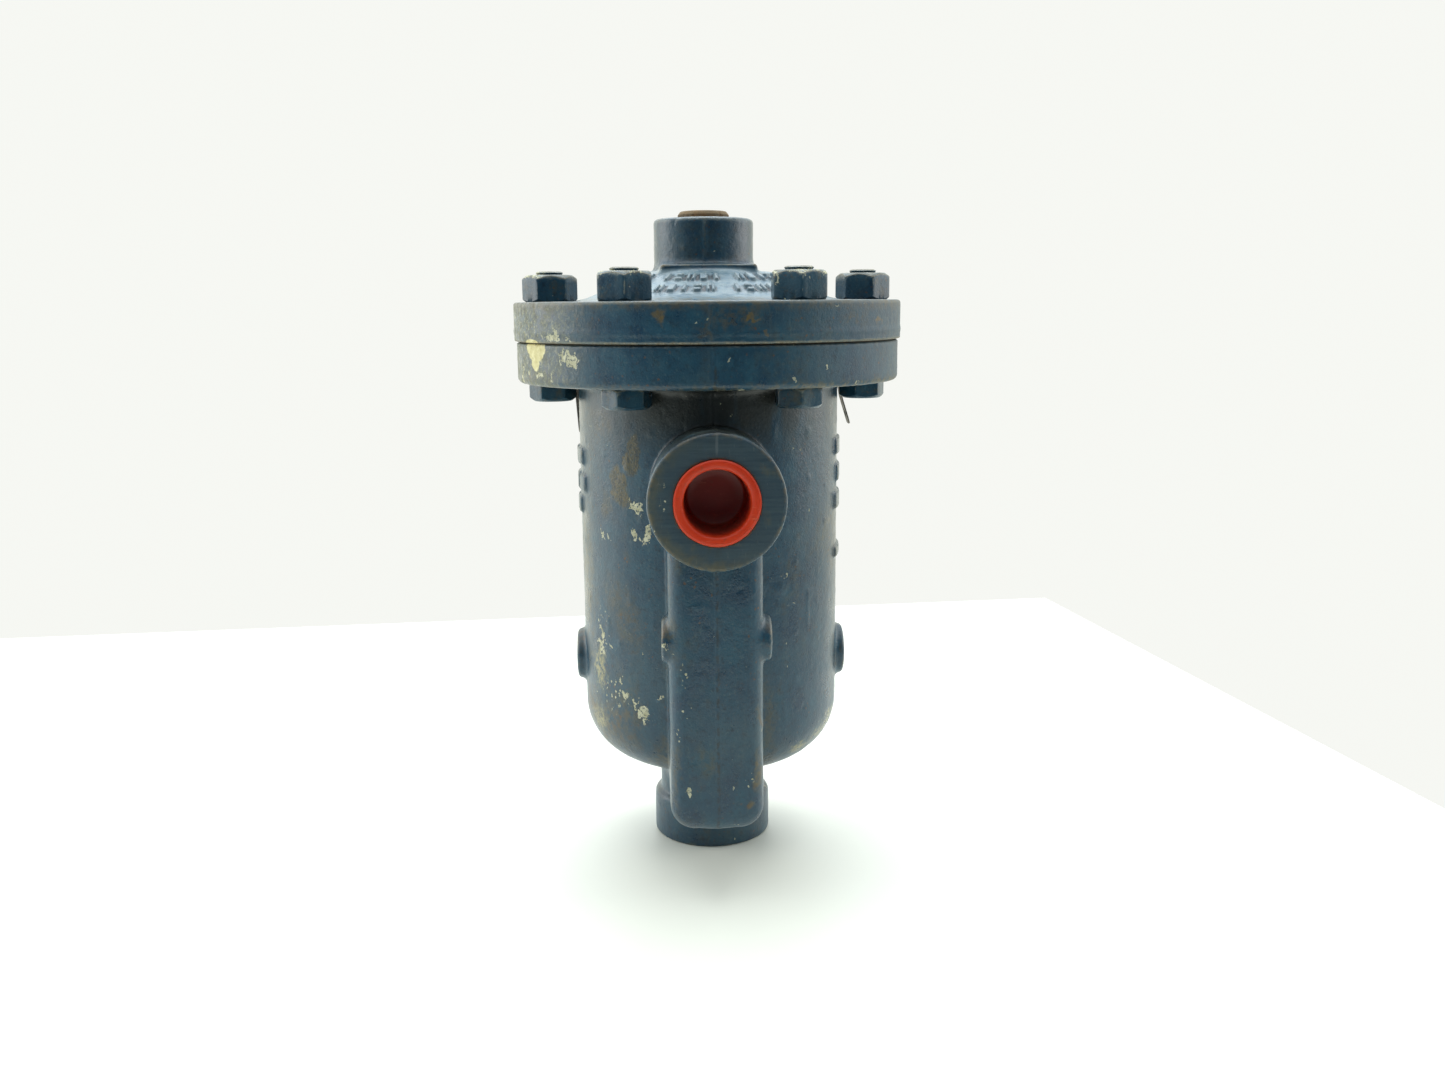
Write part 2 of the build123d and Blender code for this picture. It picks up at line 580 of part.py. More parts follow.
# ------------------------------------------------------------------ guide plate with its fulcrum lug, guide pins, screws
with BuildPart() as guide_plate:
    with BuildSketch(Plane.XY.offset(244)):
        with Locations((0, SCREW_Y + 0.1)):
            Rectangle(39, 6.8)
        with Locations((-15.5, SCREW_Y), (15.5, SCREW_Y)):
            Circle(2.1, mode=Mode.SUBTRACT)
        with Locations((-9, PIVOT_Y), (9, PIVOT_Y)):
            Circle(1.5, mode=Mode.SUBTRACT)
    extrude(amount=2)
    with BuildSketch(Plane.XY.offset(PIVOT_Z + 1.7)):
        with Locations((0, PIVOT_Y + 0.4)):
            Rectangle(8, 5)
    extrude(amount=244 - PIVOT_Z - 1.7)
    with BuildSketch(Plane.YZ.offset(-5)):
        with Locations((PIVOT_Y, PIVOT_Z)):
            Circle(2.25)
    extrude(amount=10, mode=Mode.SUBTRACT)
guide_plate.part.label = "fulcrum_plate"
export_step(guide_plate.part, "parts/fulcrum_plate.step")

with BuildPart() as pins:
    for x in (-9, 9):
        with BuildSketch(Plane.XY.offset(225.6)):
            with Locations((x, PIVOT_Y)):
                Circle(1.47)
        extrude(amount=20.4)
        with BuildSketch(Plane.XY.offset(224.4)):
            with Locations((x, PIVOT_Y)):
                Circle(2.5)
        extrude(amount=1.2)
pins.part.label = "guide_pins"
export_step(pins.part, "parts/guide_pins.step")

with BuildPart() as screws:
    for x in (-15.5, 15.5):
        with BuildSketch(Plane.XY.offset(244)):
            with Locations((x, SCREW_Y)):
                Circle(1.95)
        extrude(amount=8)
        with BuildSketch(Plane.XY.offset(241.6)):
            with Locations((x, SCREW_Y)):
                Circle(3.3)
        extrude(amount=2.4)
        with BuildSketch(Plane.XY.offset(241.6)):
            with Locations((x, SCREW_Y)):
                Rectangle(8, 0.9)
        extrude(amount=1.0, mode=Mode.SUBTRACT)
screws.part.label = "guide_screws"
export_step(screws.part, "parts/guide_screws.step")

# ------------------------------------------------------------------ plastic thread protector in the inlet
with BuildPart() as cap_plug:
    with BuildSketch(Plane.YZ):
        y0 = -PORT_FACE_Y
        with BuildLine():
            Polyline((y0 + 22.8, 0), (y0 + 22.8, 14.2), (y0 + 21.8, 14.9), (y0 + 1.7, 15.62), (y0 - 0.05, 15.62), (y0 - 0.05, 17.7), (y0 - 1.15, 17.7),
                     (y0 - 1.7, 17.1), (y0 - 1.7, 14.4), (y0 - 1.0, 13.75), (y0 + 20.6, 12.9), (y0 + 21.2, 12.2), (y0 + 21.2, 0), close=True)
        make_face()
    revolve(axis=Axis.Y)
cap = cap_plug.part.moved(Location((0, 0, PORT_Z)))
cap.label = "inlet_cap_plug"
export_step(cap, "parts/inlet_cap_plug.step")

# ------------------------------------------------------------------ identification tags held under the two side bolt heads
# side, bend distance from the bolt, offset to the rear, turn about the vertical, lean of the upper and lower parts, hanging length
TAGS = (("id_tag_left", -1, 9.5, 3.4, 5.0, 2.5, 4.0, 24.8), ("id_tag_right", 1, 9.5, 5.8, 0.0, -9.5, -17.0, 22.3))
TAG_W = 8.6
for name, sx, bend, rear, turn, lean1, lean2, hang in TAGS:
    psi, l1, l2 = math.radians(turn), math.radians(lean1), math.radians(lean2)
    side = Plane(origin=(sx * BOLT_CIRCLE_R, 0, FLANGE_BOTTOM_Z), x_dir=(-sx * math.cos(psi), -math.sin(psi), 0),
                 z_dir=(-sx * math.sin(psi), math.cos(psi), 0))
    up = 1 if side.y_dir.Z > 0 else -1
    u1, v1 = bend, -1.2
    u2, v2 = u1 + 8 * math.tan(l1), v1 - 8
    u3, v3 = u2 + (hang + v2) * math.tan(l2), -hang
    start = rear + bend * math.tan(psi)
    with BuildPart() as tag:
        with BuildSketch(side.offset(start)):
            with BuildLine():
                pts = [(bend - 8, 0), (u1 + TAG_T, 0), (u1 + TAG_T, v1), (u2 + TAG_T, v2), (u3 + TAG_T * math.cos(l2), v3 + TAG_T * math.sin(l2)), (u3, v3), (u2, v2), (u1, v1),
                       (u1, -TAG_T), (bend - 8, -TAG_T)]
                Polyline(*[(u, up * v) for u, v in pts], close=True)
            make_face()
        extrude(amount=TAG_W)
        low = tag.edges().filter_by(lambda e: abs(e.length - TAG_T) < 0.1 and e.center().Z < FLANGE_BOTTOM_Z - hang + 0.4)
        fillet(low, 2.2)
        with BuildSketch(Plane.XY.offset(FLANGE_BOTTOM_Z - TAG_T)):
            with Locations((sx * BOLT_CIRCLE_R, 0)):
                Circle(9.2)
        extrude(amount=TAG_T)
        with BuildSketch(Plane.XY.offset(FLANGE_BOTTOM_Z - TAG_T - 1)):
            with Locations((sx * BOLT_CIRCLE_R, 0)):
                Circle(6.7)
        extrude(amount=TAG_T + 2, mode=Mode.SUBTRACT)
        # eye near the free end
        eye = side.from_local_coords(Vector(u3 - 6, up * (v3 + 5.0), start + TAG_W / 2))
        with BuildSketch(Plane(origin=eye, x_dir=side.z_dir, z_dir=side.x_dir)):
            Circle(2.1)
        extrude(amount=12, mode=Mode.SUBTRACT)
    tag.part.label = name
    export_step(tag.part, f"parts/{name}.step")

print("built")
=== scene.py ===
import math

import bpy
import numpy as np
import openvdb as vdb
from mathutils import Matrix, Vector


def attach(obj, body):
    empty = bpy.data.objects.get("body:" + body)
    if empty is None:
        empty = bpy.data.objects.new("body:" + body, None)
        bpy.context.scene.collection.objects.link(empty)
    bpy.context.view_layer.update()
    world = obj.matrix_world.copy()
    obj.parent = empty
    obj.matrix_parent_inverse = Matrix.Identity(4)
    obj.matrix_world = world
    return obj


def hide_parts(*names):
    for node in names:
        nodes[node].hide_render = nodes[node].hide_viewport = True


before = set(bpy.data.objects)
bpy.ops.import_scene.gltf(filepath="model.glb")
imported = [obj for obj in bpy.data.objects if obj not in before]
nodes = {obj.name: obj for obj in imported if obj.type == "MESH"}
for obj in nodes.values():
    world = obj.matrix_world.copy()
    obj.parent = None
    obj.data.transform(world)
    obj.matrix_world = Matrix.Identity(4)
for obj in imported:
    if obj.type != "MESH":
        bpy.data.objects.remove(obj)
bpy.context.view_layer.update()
MM = 0.001

# ---------------------------------------------------------------- sizes, millimetres, as the CAD has them
PORT_Z, PORT_Y, PORT_R = 178.0, 98.5, 28.3
BODY_R, BODY_ZB, KNUCKLE = 60.5, 41.6, 28.0
BOLT_R, BOLT_ANGLES = 72.5, (-90, -30, 30, 90, 150, 210)
BOSS_X = -1.4


def around(angle, r=BOLT_R):
    t = math.radians(angle)
    return r * math.sin(t), -r * math.cos(t)


# ---------------------------------------------------------------- value noise on points
class Noise:
    def __init__(self, seed):
        self.t = (np.random.default_rng(seed).random((32, 32, 32)).astype(np.float32) * 2 - 1)

    def __call__(self, p, size):
        q = p / size
        i = np.floor(q).astype(np.int64)
        f = (q - i).astype(np.float32)
        f = f * f * (3 - 2 * f)
        i &= 31
        j = (i + 1) & 31
        t = self.t
        x0, y0, z0, x1, y1, z1 = i[:, 0], i[:, 1], i[:, 2], j[:, 0], j[:, 1], j[:, 2]
        fx, fy, fz = f[:, 0], f[:, 1], f[:, 2]
        a = t[x0, y0, z0] * (1 - fx) + t[x1, y0, z0] * fx
        b = t[x0, y1, z0] * (1 - fx) + t[x1, y1, z0] * fx
        c = t[x0, y0, z1] * (1 - fx) + t[x1, y0, z1] * fx
        d = t[x0, y1, z1] * (1 - fx) + t[x1, y1, z1] * fx
        return (a * (1 - fy) + b * fy) * (1 - fz) + (c * (1 - fy) + d * fy) * fz


# ---------------------------------------------------------------- distance fields
def smin(a, b, k):
    if k <= 0:
        return np.minimum(a, b)
    h = np.maximum(k - np.abs(a - b), 0) / k
    return np.minimum(a, b) - h * h * (k * 0.25)


def smax(a, b, k):
    return -smin(-a, -b, k)


def corner(a, b, r):
    """Outside of both planes a and b, the edge between them rounded to radius r."""
    return np.minimum(np.maximum(a + r, b + r), 0) + np.hypot(np.maximum(a + r, 0), np.maximum(b + r, 0)) - r


def box2(u, v, hu, hv, r=0.0):
    return corner(np.abs(u) - hu, np.abs(v) - hv, r)


def ring(r, z, r1, z0, z1, low=0.0, high=0.0):
    """Solid of revolution: a disc of radius r1 from z0 to z1 with rounded lower and upper edges."""
    return np.maximum(corner(r - r1, z0 - z, low) if low else np.maximum(r - r1, z0 - z),
                      corner(r - r1, z - z1, high) if high else np.maximum(r - r1, z - z1))


class Field:
    def __init__(self, lo, hi, h):
        self.lo, self.h = np.array(lo, float), h
        n = np.ceil((np.array(hi, float) - self.lo) / h).astype(int) + 1
        self.ax = [(self.lo[i] + h * np.arange(n[i])).astype(np.float32) for i in range(3)]
        self.d = np.full(tuple(n), 60.0, np.float32)
        self.cut = np.full(tuple(n), 60.0, np.float32)

    def part(self, lo, hi):
        s = []
        for i in range(3):
            a = 0 if lo is None or lo[i] is None else int(np.searchsorted(self.ax[i], lo[i]))
            b = len(self.ax[i]) if hi is None or hi[i] is None else int(np.searchsorted(self.ax[i], hi[i]))
            s.append(slice(a, b))
        x = self.ax[0][s[0]][:, None, None]
        y = self.ax[1][s[1]][None, :, None]
        z = self.ax[2][s[2]][None, None, :]
        return tuple(s), x, y, z

    def add(self, fn, k=0.0, lo=None, hi=None):
        s, x, y, z = self.part(lo, hi)
        self.d[s] = smin(self.d[s], fn(x, y, z).astype(np.float32), k)

    def sub(self, fn, lo=None, hi=None, k=0.0):
        s, x, y, z = self.part(lo, hi)
        c = fn(x, y, z).astype(np.float32)
        c = np.broadcast_to(c, self.d[s].shape)
        self.cut[s] = np.minimum(self.cut[s], c)
        self.d[s] = smax(self.d[s], -c, k)

    def sample(self, arr, p):
        q = (p - self.lo) / self.h
        n = np.array(arr.shape)
        q = np.clip(q, 0, n - 1.001)
        i = np.floor(q).astype(np.int64)
        f = (q - i).astype(np.float32)
        x, y, z = i[:, 0], i[:, 1], i[:, 2]
        fx, fy, fz = f[:, 0], f[:, 1], f[:, 2]
        c = arr[x, y, z] * (1 - fx) + arr[x + 1, y, z] * fx
        d = arr[x, y + 1, z] * (1 - fx) + arr[x + 1, y + 1, z] * fx
        e = arr[x, y, z + 1] * (1 - fx) + arr[x + 1, y, z + 1] * fx
        g = arr[x, y + 1, z + 1] * (1 - fx) + arr[x + 1, y + 1, z + 1] * fx
        return (c * (1 - fy) + d * fy) * (1 - fz) + (e * (1 - fy) + g * fy) * fz

    def blurred(self, radius):
        """Mean of the clipped field over a small cube: positive past convex edges, negative in hollows."""
        w = max(1, int(round(radius / self.h)))
        a = np.clip(self.d, -2.5 * radius, 2.5 * radius)
        for axis in range(3):
            pad = [(0, 0)] * 3
            pad[axis] = (w + 1, w)
            c = np.cumsum(np.pad(a, pad, mode="edge"), axis=axis, dtype=np.float32)
            hi = [slice(None)] * 3
            lo = [slice(None)] * 3
            hi[axis] = slice(2 * w + 1, None)
            lo[axis] = slice(0, -(2 * w + 1))
            a = (c[tuple(hi)] - c[tuple(lo)]) / (2 * w + 1)
        return a

    def mesh(self):
        band = 3 * self.h
        grid = vdb.FloatGrid(band)
        grid.copyFromArray(np.ascontiguousarray(np.clip(self.d, -band, band)))
        pts, quads = grid.convertToQuads(0.0)
        return pts.astype(np.float64) * self.h + self.lo, quads.astype(np.int64)


def build_mesh(name, pts, faces, mats, face_mat=None, attrs=None, smooth=True):
    """pts in millimetres; faces (n,4) or (n,3) array."""
    me = bpy.data.meshes.new(name)
    n, k = faces.shape
    me.vertices.add(len(pts))
    me.vertices.foreach_set("co", (pts * MM).astype(np.float32).ravel())
    me.loops.add(n * k)
    me.loops.foreach_set("vertex_index", faces.astype(np.int32).ravel())
    me.polygons.add(n)
    me.polygons.foreach_set("loop_start", np.arange(0, n * k, k, dtype=np.int32))
    if face_mat is not None:
        me.polygons.foreach_set("material_index", face_mat.astype(np.int32))
    for m in mats:
        me.materials.append(m)
    me.update(calc_edges=True)
    me.polygons.foreach_set("use_smooth", np.full(n, smooth))
    for key, values in (attrs or {}).items():
        a = me.attributes.new(key, "FLOAT", "POINT")
        a.data.foreach_set("value", values.astype(np.float32))
    me.update()
    o = bpy.data.objects.new(name, me)
    bpy.context.scene.collection.objects.link(o)
    return o


def vertex_normals(pts, quads):
    a, b, c, d = (pts[quads[:, i]] for i in range(4))
    fn = np.cross(c - a, d - b)
    vn = np.zeros_like(pts)
    for i in range(4):
        for ax in range(3):
            vn[:, ax] += np.bincount(quads[:, i], fn[:, ax], len(pts))
    return vn / np.maximum(np.linalg.norm(vn, axis=1, keepdims=True), 1e-9)


def smoothed(values, quads, rounds):
    """Average a per-vertex value with its neighbours."""
    n = len(values)
    e = np.concatenate([quads[:, [0, 1]], quads[:, [1, 2]], quads[:, [2, 3]], quads[:, [3, 0]]])
    cnt = np.bincount(e[:, 0], minlength=n) + np.bincount(e[:, 1], minlength=n)
    for _ in range(rounds):
        s = np.bincount(e[:, 0], values[e[:, 1]], n) + np.bincount(e[:, 1], values[e[:, 0]], n)
        values = 0.5 * values + 0.5 * s / np.maximum(cnt, 1)
    return values


def finish_casting(name, field, mats, seed, calm):
    """Mesh the field, add sand-cast roughness, and store edge, hollow and zone values for the paint."""
    pts, quads = field.mesh()
    vn = vertex_normals(pts, quads)
    g = field.sample(field.d, pts + vn * field.h * 0.7)
    if np.median(g) < 0:
        quads = quads[:, ::-1].copy()
        vn = -vn
    cutd = field.sample(field.cut, pts + vn * field.h * 0.5)
    raw = (cutd < 0.35 * field.h).astype(float)
    b1 = field.sample(field.blurred(1.1), pts)
    b2 = field.sample(field.blurred(4.5), pts)
    n1, n2, n3 = Noise(seed), Noise(seed + 1), Noise(seed + 2)
    rough = 0.050 * n1(pts, 1.7) + 0.045 * n2(pts, 3.1) + 0.05 * n3(pts, 8.0) + 0.10 * n1(pts, 24.0)
    lumps = np.maximum(n2(pts, 5.3) - 0.66, 0) * 0.7 - np.maximum(n3(pts, 3.1) - 0.74, 0) * 0.7
    quiet = calm(pts[:, 0], pts[:, 1], pts[:, 2])
    amount = np.where(raw > 0.5, 0.0, 1.0) * quiet
    pts = pts + vn * ((rough + lumps) * amount)[:, None]
    fm = (raw[quads].mean(1) > 0.6).astype(int)
    attrs = {"edge": np.clip(b1 / 1.1, -1, 1), "hollow": np.clip(b2 / 4.5, -1, 1), "calm": 1 - quiet}
    return build_mesh(name, pts, quads, mats, fm, attrs)


# ---------------------------------------------------------------- node helpers
class Nodes:
    def __init__(self, name):
        self.m = bpy.data.materials.new(name)
        self.m.use_nodes = True
        self.t = self.m.node_tree
        self.bsdf = self.t.nodes["Principled BSDF"]

    def node(self, kind, **props):
        n = self.t.nodes.new(kind)
        for k, v in props.items():
            setattr(n, k, v)
        return n

    def put(self, socket, v):
        if isinstance(v, bpy.types.NodeSocket):
            self.t.links.new(v, socket)
        elif isinstance(v, (tuple, list)) and hasattr(socket.default_value, "__len__") and len(socket.default_value) == 4 and len(v) == 3:
            socket.default_value = (*v, 1.0)
        else:
            socket.default_value = v

    def coord(self, scale=1000.0, stretch=(1, 1, 1), rotate=(0, 0, 0), move=(0, 0, 0)):
        tc = self.node("ShaderNodeTexCoord")
        mp = self.node("ShaderNodeMapping")
        self.t.links.new(tc.outputs["Object"], mp.inputs["Vector"])
        mp.inputs["Scale"].default_value = [scale * s for s in stretch]
        mp.inputs["Rotation"].default_value = rotate
        mp.inputs["Location"].default_value = move
        return mp.outputs["Vector"]

    def noise(self, co, size, detail=2.0, rough=0.5, distort=0.0):
        n = self.node("ShaderNodeTexNoise")
        self.put(n.inputs["Vector"], co)
        n.inputs["Scale"].default_value = 1.0 / size
        n.inputs["Detail"].default_value = detail
        n.inputs["Roughness"].default_value = rough
        n.inputs["Distortion"].default_value = distort
        return n.outputs["Fac"]

    def noise_colour(self, co, size, detail=2.0):
        n = self.node("ShaderNodeTexNoise")
        self.put(n.inputs["Vector"], co)
        n.inputs["Scale"].default_value = 1.0 / size
        n.inputs["Detail"].default_value = detail
        return n.outputs["Color"]

    def cells(self, co, size, feature="F1", random=1.0):
        n = self.node("ShaderNodeTexVoronoi", feature=feature)
        self.put(n.inputs["Vector"], co)
        n.inputs["Scale"].default_value = 1.0 / size
        n.inputs["Randomness"].default_value = random
        return n.outputs["Distance"]

    def math(self, op, a, b=0.0, c=0.0, clamp=False):
        n = self.node("ShaderNodeMath", operation=op, use_clamp=clamp)
        self.put(n.inputs[0], a)
        self.put(n.inputs[1], b)
        if len(n.inputs) > 2:
            self.put(n.inputs[2], c)
        return n.outputs[0]

    def step(self, v, lo, hi):
        """0 below lo, 1 above hi, smooth between; lo may be above hi."""
        n = self.node("ShaderNodeMapRange", interpolation_type="SMOOTHSTEP", clamp=True)
        self.put(n.inputs["Value"], v)
        if lo < hi:
            vals = (lo, hi, 0.0, 1.0)
        else:
            vals = (hi, lo, 1.0, 0.0)
        for i, x in zip(("From Min", "From Max", "To Min", "To Max"), vals):
            n.inputs[i].default_value = x
        return n.outputs["Result"]

    def span(self, v, lo, hi, to0=0.0, to1=1.0):
        n = self.node("ShaderNodeMapRange", clamp=True)
        self.put(n.inputs["Value"], v)
        for i, x in zip(("From Min", "From Max", "To Min", "To Max"), (lo, hi, to0, to1)):
            n.inputs[i].default_value = x
        return n.outputs["Result"]

    def mix(self, f, a, b, blend="MIX"):
        n = self.node("ShaderNodeMix", data_type="RGBA", blend_type=blend, clamp_factor=True)
        self.put(n.inputs["Factor"], f)
        ins = [s for s in n.inputs if s.type == "RGBA"]
        self.put(ins[0], a)
        self.put(ins[1], b)
        return [s for s in n.outputs if s.type == "RGBA"][0]

    def mixf(self, f, a, b):
        n = self.node("ShaderNodeMix", data_type="FLOAT", clamp_factor=True)
        self.put(n.inputs[0], f)
        self.put(n.inputs[2], a)
        self.put(n.inputs[3], b)
        return n.outputs[0]

    def attr(self, name):
        n = self.node("ShaderNodeAttribute", attribute_name=name)
        return n.outputs["Fac"]

    def split(self, v):
        n = self.node("ShaderNodeSeparateXYZ")
        self.put(n.inputs[0], v)
        return n.outputs[0], n.outputs[1], n.outputs[2]

    def join(self, x, y, z):
        n = self.node("ShaderNodeCombineXYZ")
        for i, v in enumerate((x, y, z)):
            self.put(n.inputs[i], v)
        return n.outputs[0]

    def vec(self, op, a, b=(0, 0, 0), scale=None):
        n = self.node("ShaderNodeVectorMath", operation=op)
        self.put(n.inputs[0], a)
        if op != "LENGTH" and op != "SCALE":
            self.put(n.inputs[1], b)
        if scale is not None:
            self.put(n.inputs["Scale"], scale)
        return n.outputs["Value"] if op in ("LENGTH", "DOT_PRODUCT", "DISTANCE") else n.outputs["Vector"]

    def normal(self):
        return self.node("ShaderNodeNewGeometry").outputs["Normal"]

    def bump(self, height, strength, distance, base=None):
        n = self.node("ShaderNodeBump")
        n.inputs["Strength"].default_value = strength
        n.inputs["Distance"].default_value = distance
        self.put(n.inputs["Height"], height)
        if base is not None:
            self.put(n.inputs["Normal"], base)
        return n.outputs["Normal"]

    def out(self, colour=None, rough=None, metal=None, normal=None, **fixed):
        b = self.bsdf.inputs
        if colour is not None:
            self.put(b["Base Color"], colour)
        if rough is not None:
            self.put(b["Roughness"], rough)
        if metal is not None:
            self.put(b["Metallic"], metal)
        if normal is not None:
            self.put(b["Normal"], normal)
        for k, v in fixed.items():
            b[k].default_value = v
        return self.m


# ---------------------------------------------------------------- castings
def body_field(h):
    f = Field((-93, -103.5, -3), (93, 103.5, 243), h)
    # barrel with its rounded knuckle
    f.add(lambda x, y, z: ring(np.hypot(x, y), z, BODY_R, BODY_ZB, 234, low=KNUCKLE))
    # flange, with a small fillet to the barrel
    f.add(lambda x, y, z: ring(np.hypot(x, y), z, 88.0, 221.8, 239.95, low=2.4, high=0.25), 5, lo=(None, None, 205))
    # outlet riser to the flange
    f.add(lambda x, y, z: np.maximum(corner(np.abs(x) - 19.6, y - 86.0, 6.0), np.maximum(178 - z, z - 228)), 6,
          lo=(-40, 40, 160), hi=(40, 98, 232))
    # inlet and outlet bosses
    def boss(x, y, z):
        a = np.abs(y)
        rr = np.hypot(x, z - PORT_Z) - (PORT_R - np.clip(PORT_Y - a, 0, 50) * 0.025)
        return np.maximum(corner(rr, a - PORT_Y, 1.3), 44 - a)
    f.add(boss, 0.9, lo=(-45, None, 135), hi=(45, None, 221))
    # channel from the inlet down to the foot, its face slightly crowned at the parting line
    def channel(x, y, z):
        u = np.abs(x + 0.4)
        face = -86.45 + 0.95 * u / 19.6
        low = np.maximum(26.4, 33.6 - 0.30 * (y + 86)) + 1.3 * u / 19.6 - z
        half = 20.0 + (y + 86) * (0.9 / 78)
        outline = corner(low * 0.96, u - half, 9.5)
        prof = corner(face - y, outline, 7.2)
        return np.maximum(prof, np.maximum(z - 184, y - 4))
    f.add(channel, 1.2, lo=(-40, -90, 10), hi=(40, 10, 190))
    # foot and neck
    f.add(lambda x, y, z: ring(np.hypot(x, y), z, 25.0, 10, 60), 4, lo=(-60, -60, 5), hi=(60, 60, 70))
    f.add(lambda x, y, z: ring(np.hypot(x, y), z, 28.0, 0, 21.7, low=1.2, high=3.2), 1.6, lo=(-40, -40, None), hi=(40, 40, 32))
    # chaplet bosses on the barrel and on the channel
    f.add(lambda x, y, z: corner(np.hypot(y, z - 90.2) - 12.0, np.abs(x) - 64.2, 1.6), 3, lo=(None, -24, 66), hi=(None, 24, 114))
    f.add(lambda x, y, z: corner(np.hypot(y + 73.5, z - 115.6) - 9.8, np.abs(x) - 23.4, 1.5), 2.5, lo=(-28, -95, 98), hi=(28, -52, 134))
    # plain raised bars on both sides and the flow arrow
    rows = {-1: ((188.0, ((-19, -7), (-4, 5), (8, 21))), (176.0, ((-22, -13), (-10, 8), (11, 17))),
                 (165.6, ((-14, -5), (-2, 4), (7, 19)))),
            1: ((191.5, ((-20, -9), (-6, 6), (9, 18))), (179.2, ((-17, -11), (-8, 9), (12, 21))),
                (166.4, ((-21, -8), (-5, 4), (7, 15))))}
    for side, lines in rows.items():
        def bars(x, y, z, side=side, lines=lines):
            g = np.full(np.broadcast_shapes(y.shape, z.shape), 9.0, np.float32)
            for zc, spans in lines:
                for a, b in spans:
                    g = np.minimum(g, box2(y - (a + b) / 2, z - zc, (b - a) / 2, 3.9, 1.4))
            if side > 0:
                stem = box2(y + 6, z - 142, 14, 2.4, 0.6)
                tip = np.maximum(8 - y, (y - 21) * 0.485 + np.abs(z - 142) * 0.875)
                g = np.minimum(g, np.minimum(stem, tip))
            return np.maximum(corner(np.hypot(x, y) - (BODY_R + 1.35), g, 0.5), 40 - side * x)
        f.add(bars, 0.9, lo=(-66 if side < 0 else 30, -28, 128), hi=(-30 if side < 0 else 66, 28, 202))
    # parting fins left by the mould: up the front and the back, and round the sides at the flange
    def fin(x, y, z):
        return np.abs(x - 0.12 * np.sin(z * 0.11)) - 0.55
    def fin_body(x, y, z):
        return np.maximum(fin(x, y, z), np.hypot(x, y) - (BODY_R + 0.38))
    f.add(fin_body, 0.9, lo=(-4, -66, 62), hi=(4, 66, 222))
    f.add(lambda x, y, z: np.maximum(fin(x, y, z), np.maximum(-86.75 - y, 58 - z)), 0.9, lo=(-4, -90, 50), hi=(4, -80, 152))
    f.add(lambda x, y, z: np.maximum(fin(x, y, z), np.abs(np.hypot(x, z - PORT_Z) - 20) - (8.3 + 0.45 - np.clip(PORT_Y - np.abs(y), 0, 50) * 0.025)),
          0.9, lo=(-4, -97, 140), hi=(4, -56, 210))
    f.add(lambda x, y, z: np.maximum(fin(x, y, z), ring(np.hypot(x, y), z, 88.35, 223.5, 238)), 0.7, lo=(-4, None, 221), hi=(4, None, 240))
    # chamber, then the humps inside it
    f.sub(lambda x, y, z: ring(np.hypot(x, y), z, 53.5, 48, 260, low=21), lo=(-56, -56, 44), hi=(56, 56, None))
    f.add(lambda x, y, z: np.maximum(box2(x, y + 28.5, 19, 28.5, 2), np.maximum(40 - z, z - 57)), 2, lo=(-26, -62, 38), hi=(26, 6, 62))
    f.add(lambda x, y, z: ring(np.hypot(x, y), z, 19, 40, 62, high=1.5), 2, lo=(-26, -26, 38), hi=(26, 26, 66))
    # passages
    f.sub(lambda x, y, z: np.maximum(box2(x, y + 73, 13, 7, 4), np.maximum(44 - z, z - 190)), lo=(-16, -84, 40), hi=(16, -62, 194))
    f.sub(lambda x, y, z: np.maximum(box2(x, z - 43, 13, 7, 4), np.maximum(-72 - y, y)), lo=(-16, -78, 33), hi=(16, 3, 53))
    f.sub(lambda x, y, z: ring(np.hypot(x, y), z, 10.5, 36, 80), lo=(-14, -14, 33), hi=(14, 14, 80))
    f.sub(lambda x, y, z: ring(np.hypot(x, y), z, 12.75, 52, 80), lo=(-16, -16, 49), hi=(16, 16, 80))
    # drain opening
    def drain(x, y, z):
        r = np.hypot(x, y)
        a = np.maximum(r - (12.75 - 0.03 * z), z - 18)
        b = np.maximum(r - 11.2, z - 42)
        return np.minimum(np.minimum(a, b), np.maximum((r - 14 + z) * 0.707, z - 2))
    f.sub(drain, lo=(-17, -17, None), hi=(17, 17, 46))
    # threaded ports; the outlet is opened to leave room for its thread
    def port(x, y, z):
        r, a = np.hypot(x, z - PORT_Z), np.abs(y)
        big = np.where(y > 0, 17.25, 15.9)
        one = np.maximum(r - big, 74.9 - a)
        lead = np.maximum((r - 17.6 + (PORT_Y - a)) * 0.707, 94 - a)
        return np.minimum(np.minimum(one, lead), np.maximum(r - 12.5, 66.5 - a))
    f.sub(port, lo=(-20, None, 158), hi=(20, None, 198))
    f.sub(lambda x, y, z: np.hypot(x, y - 71) - 7.5, lo=(-10, 60, 178), hi=(10, 82, None))
    # bolt holes
    def holes(x, y, z):
        d = 60.0
        for a in BOLT_ANGLES:
            cx, cy = around(a)
            d = np.minimum(d, np.hypot(x - cx, y - cy) - 7.15)
        return np.maximum(d, 219 - z)
    f.sub(holes, lo=(None, None, 218))
    return f


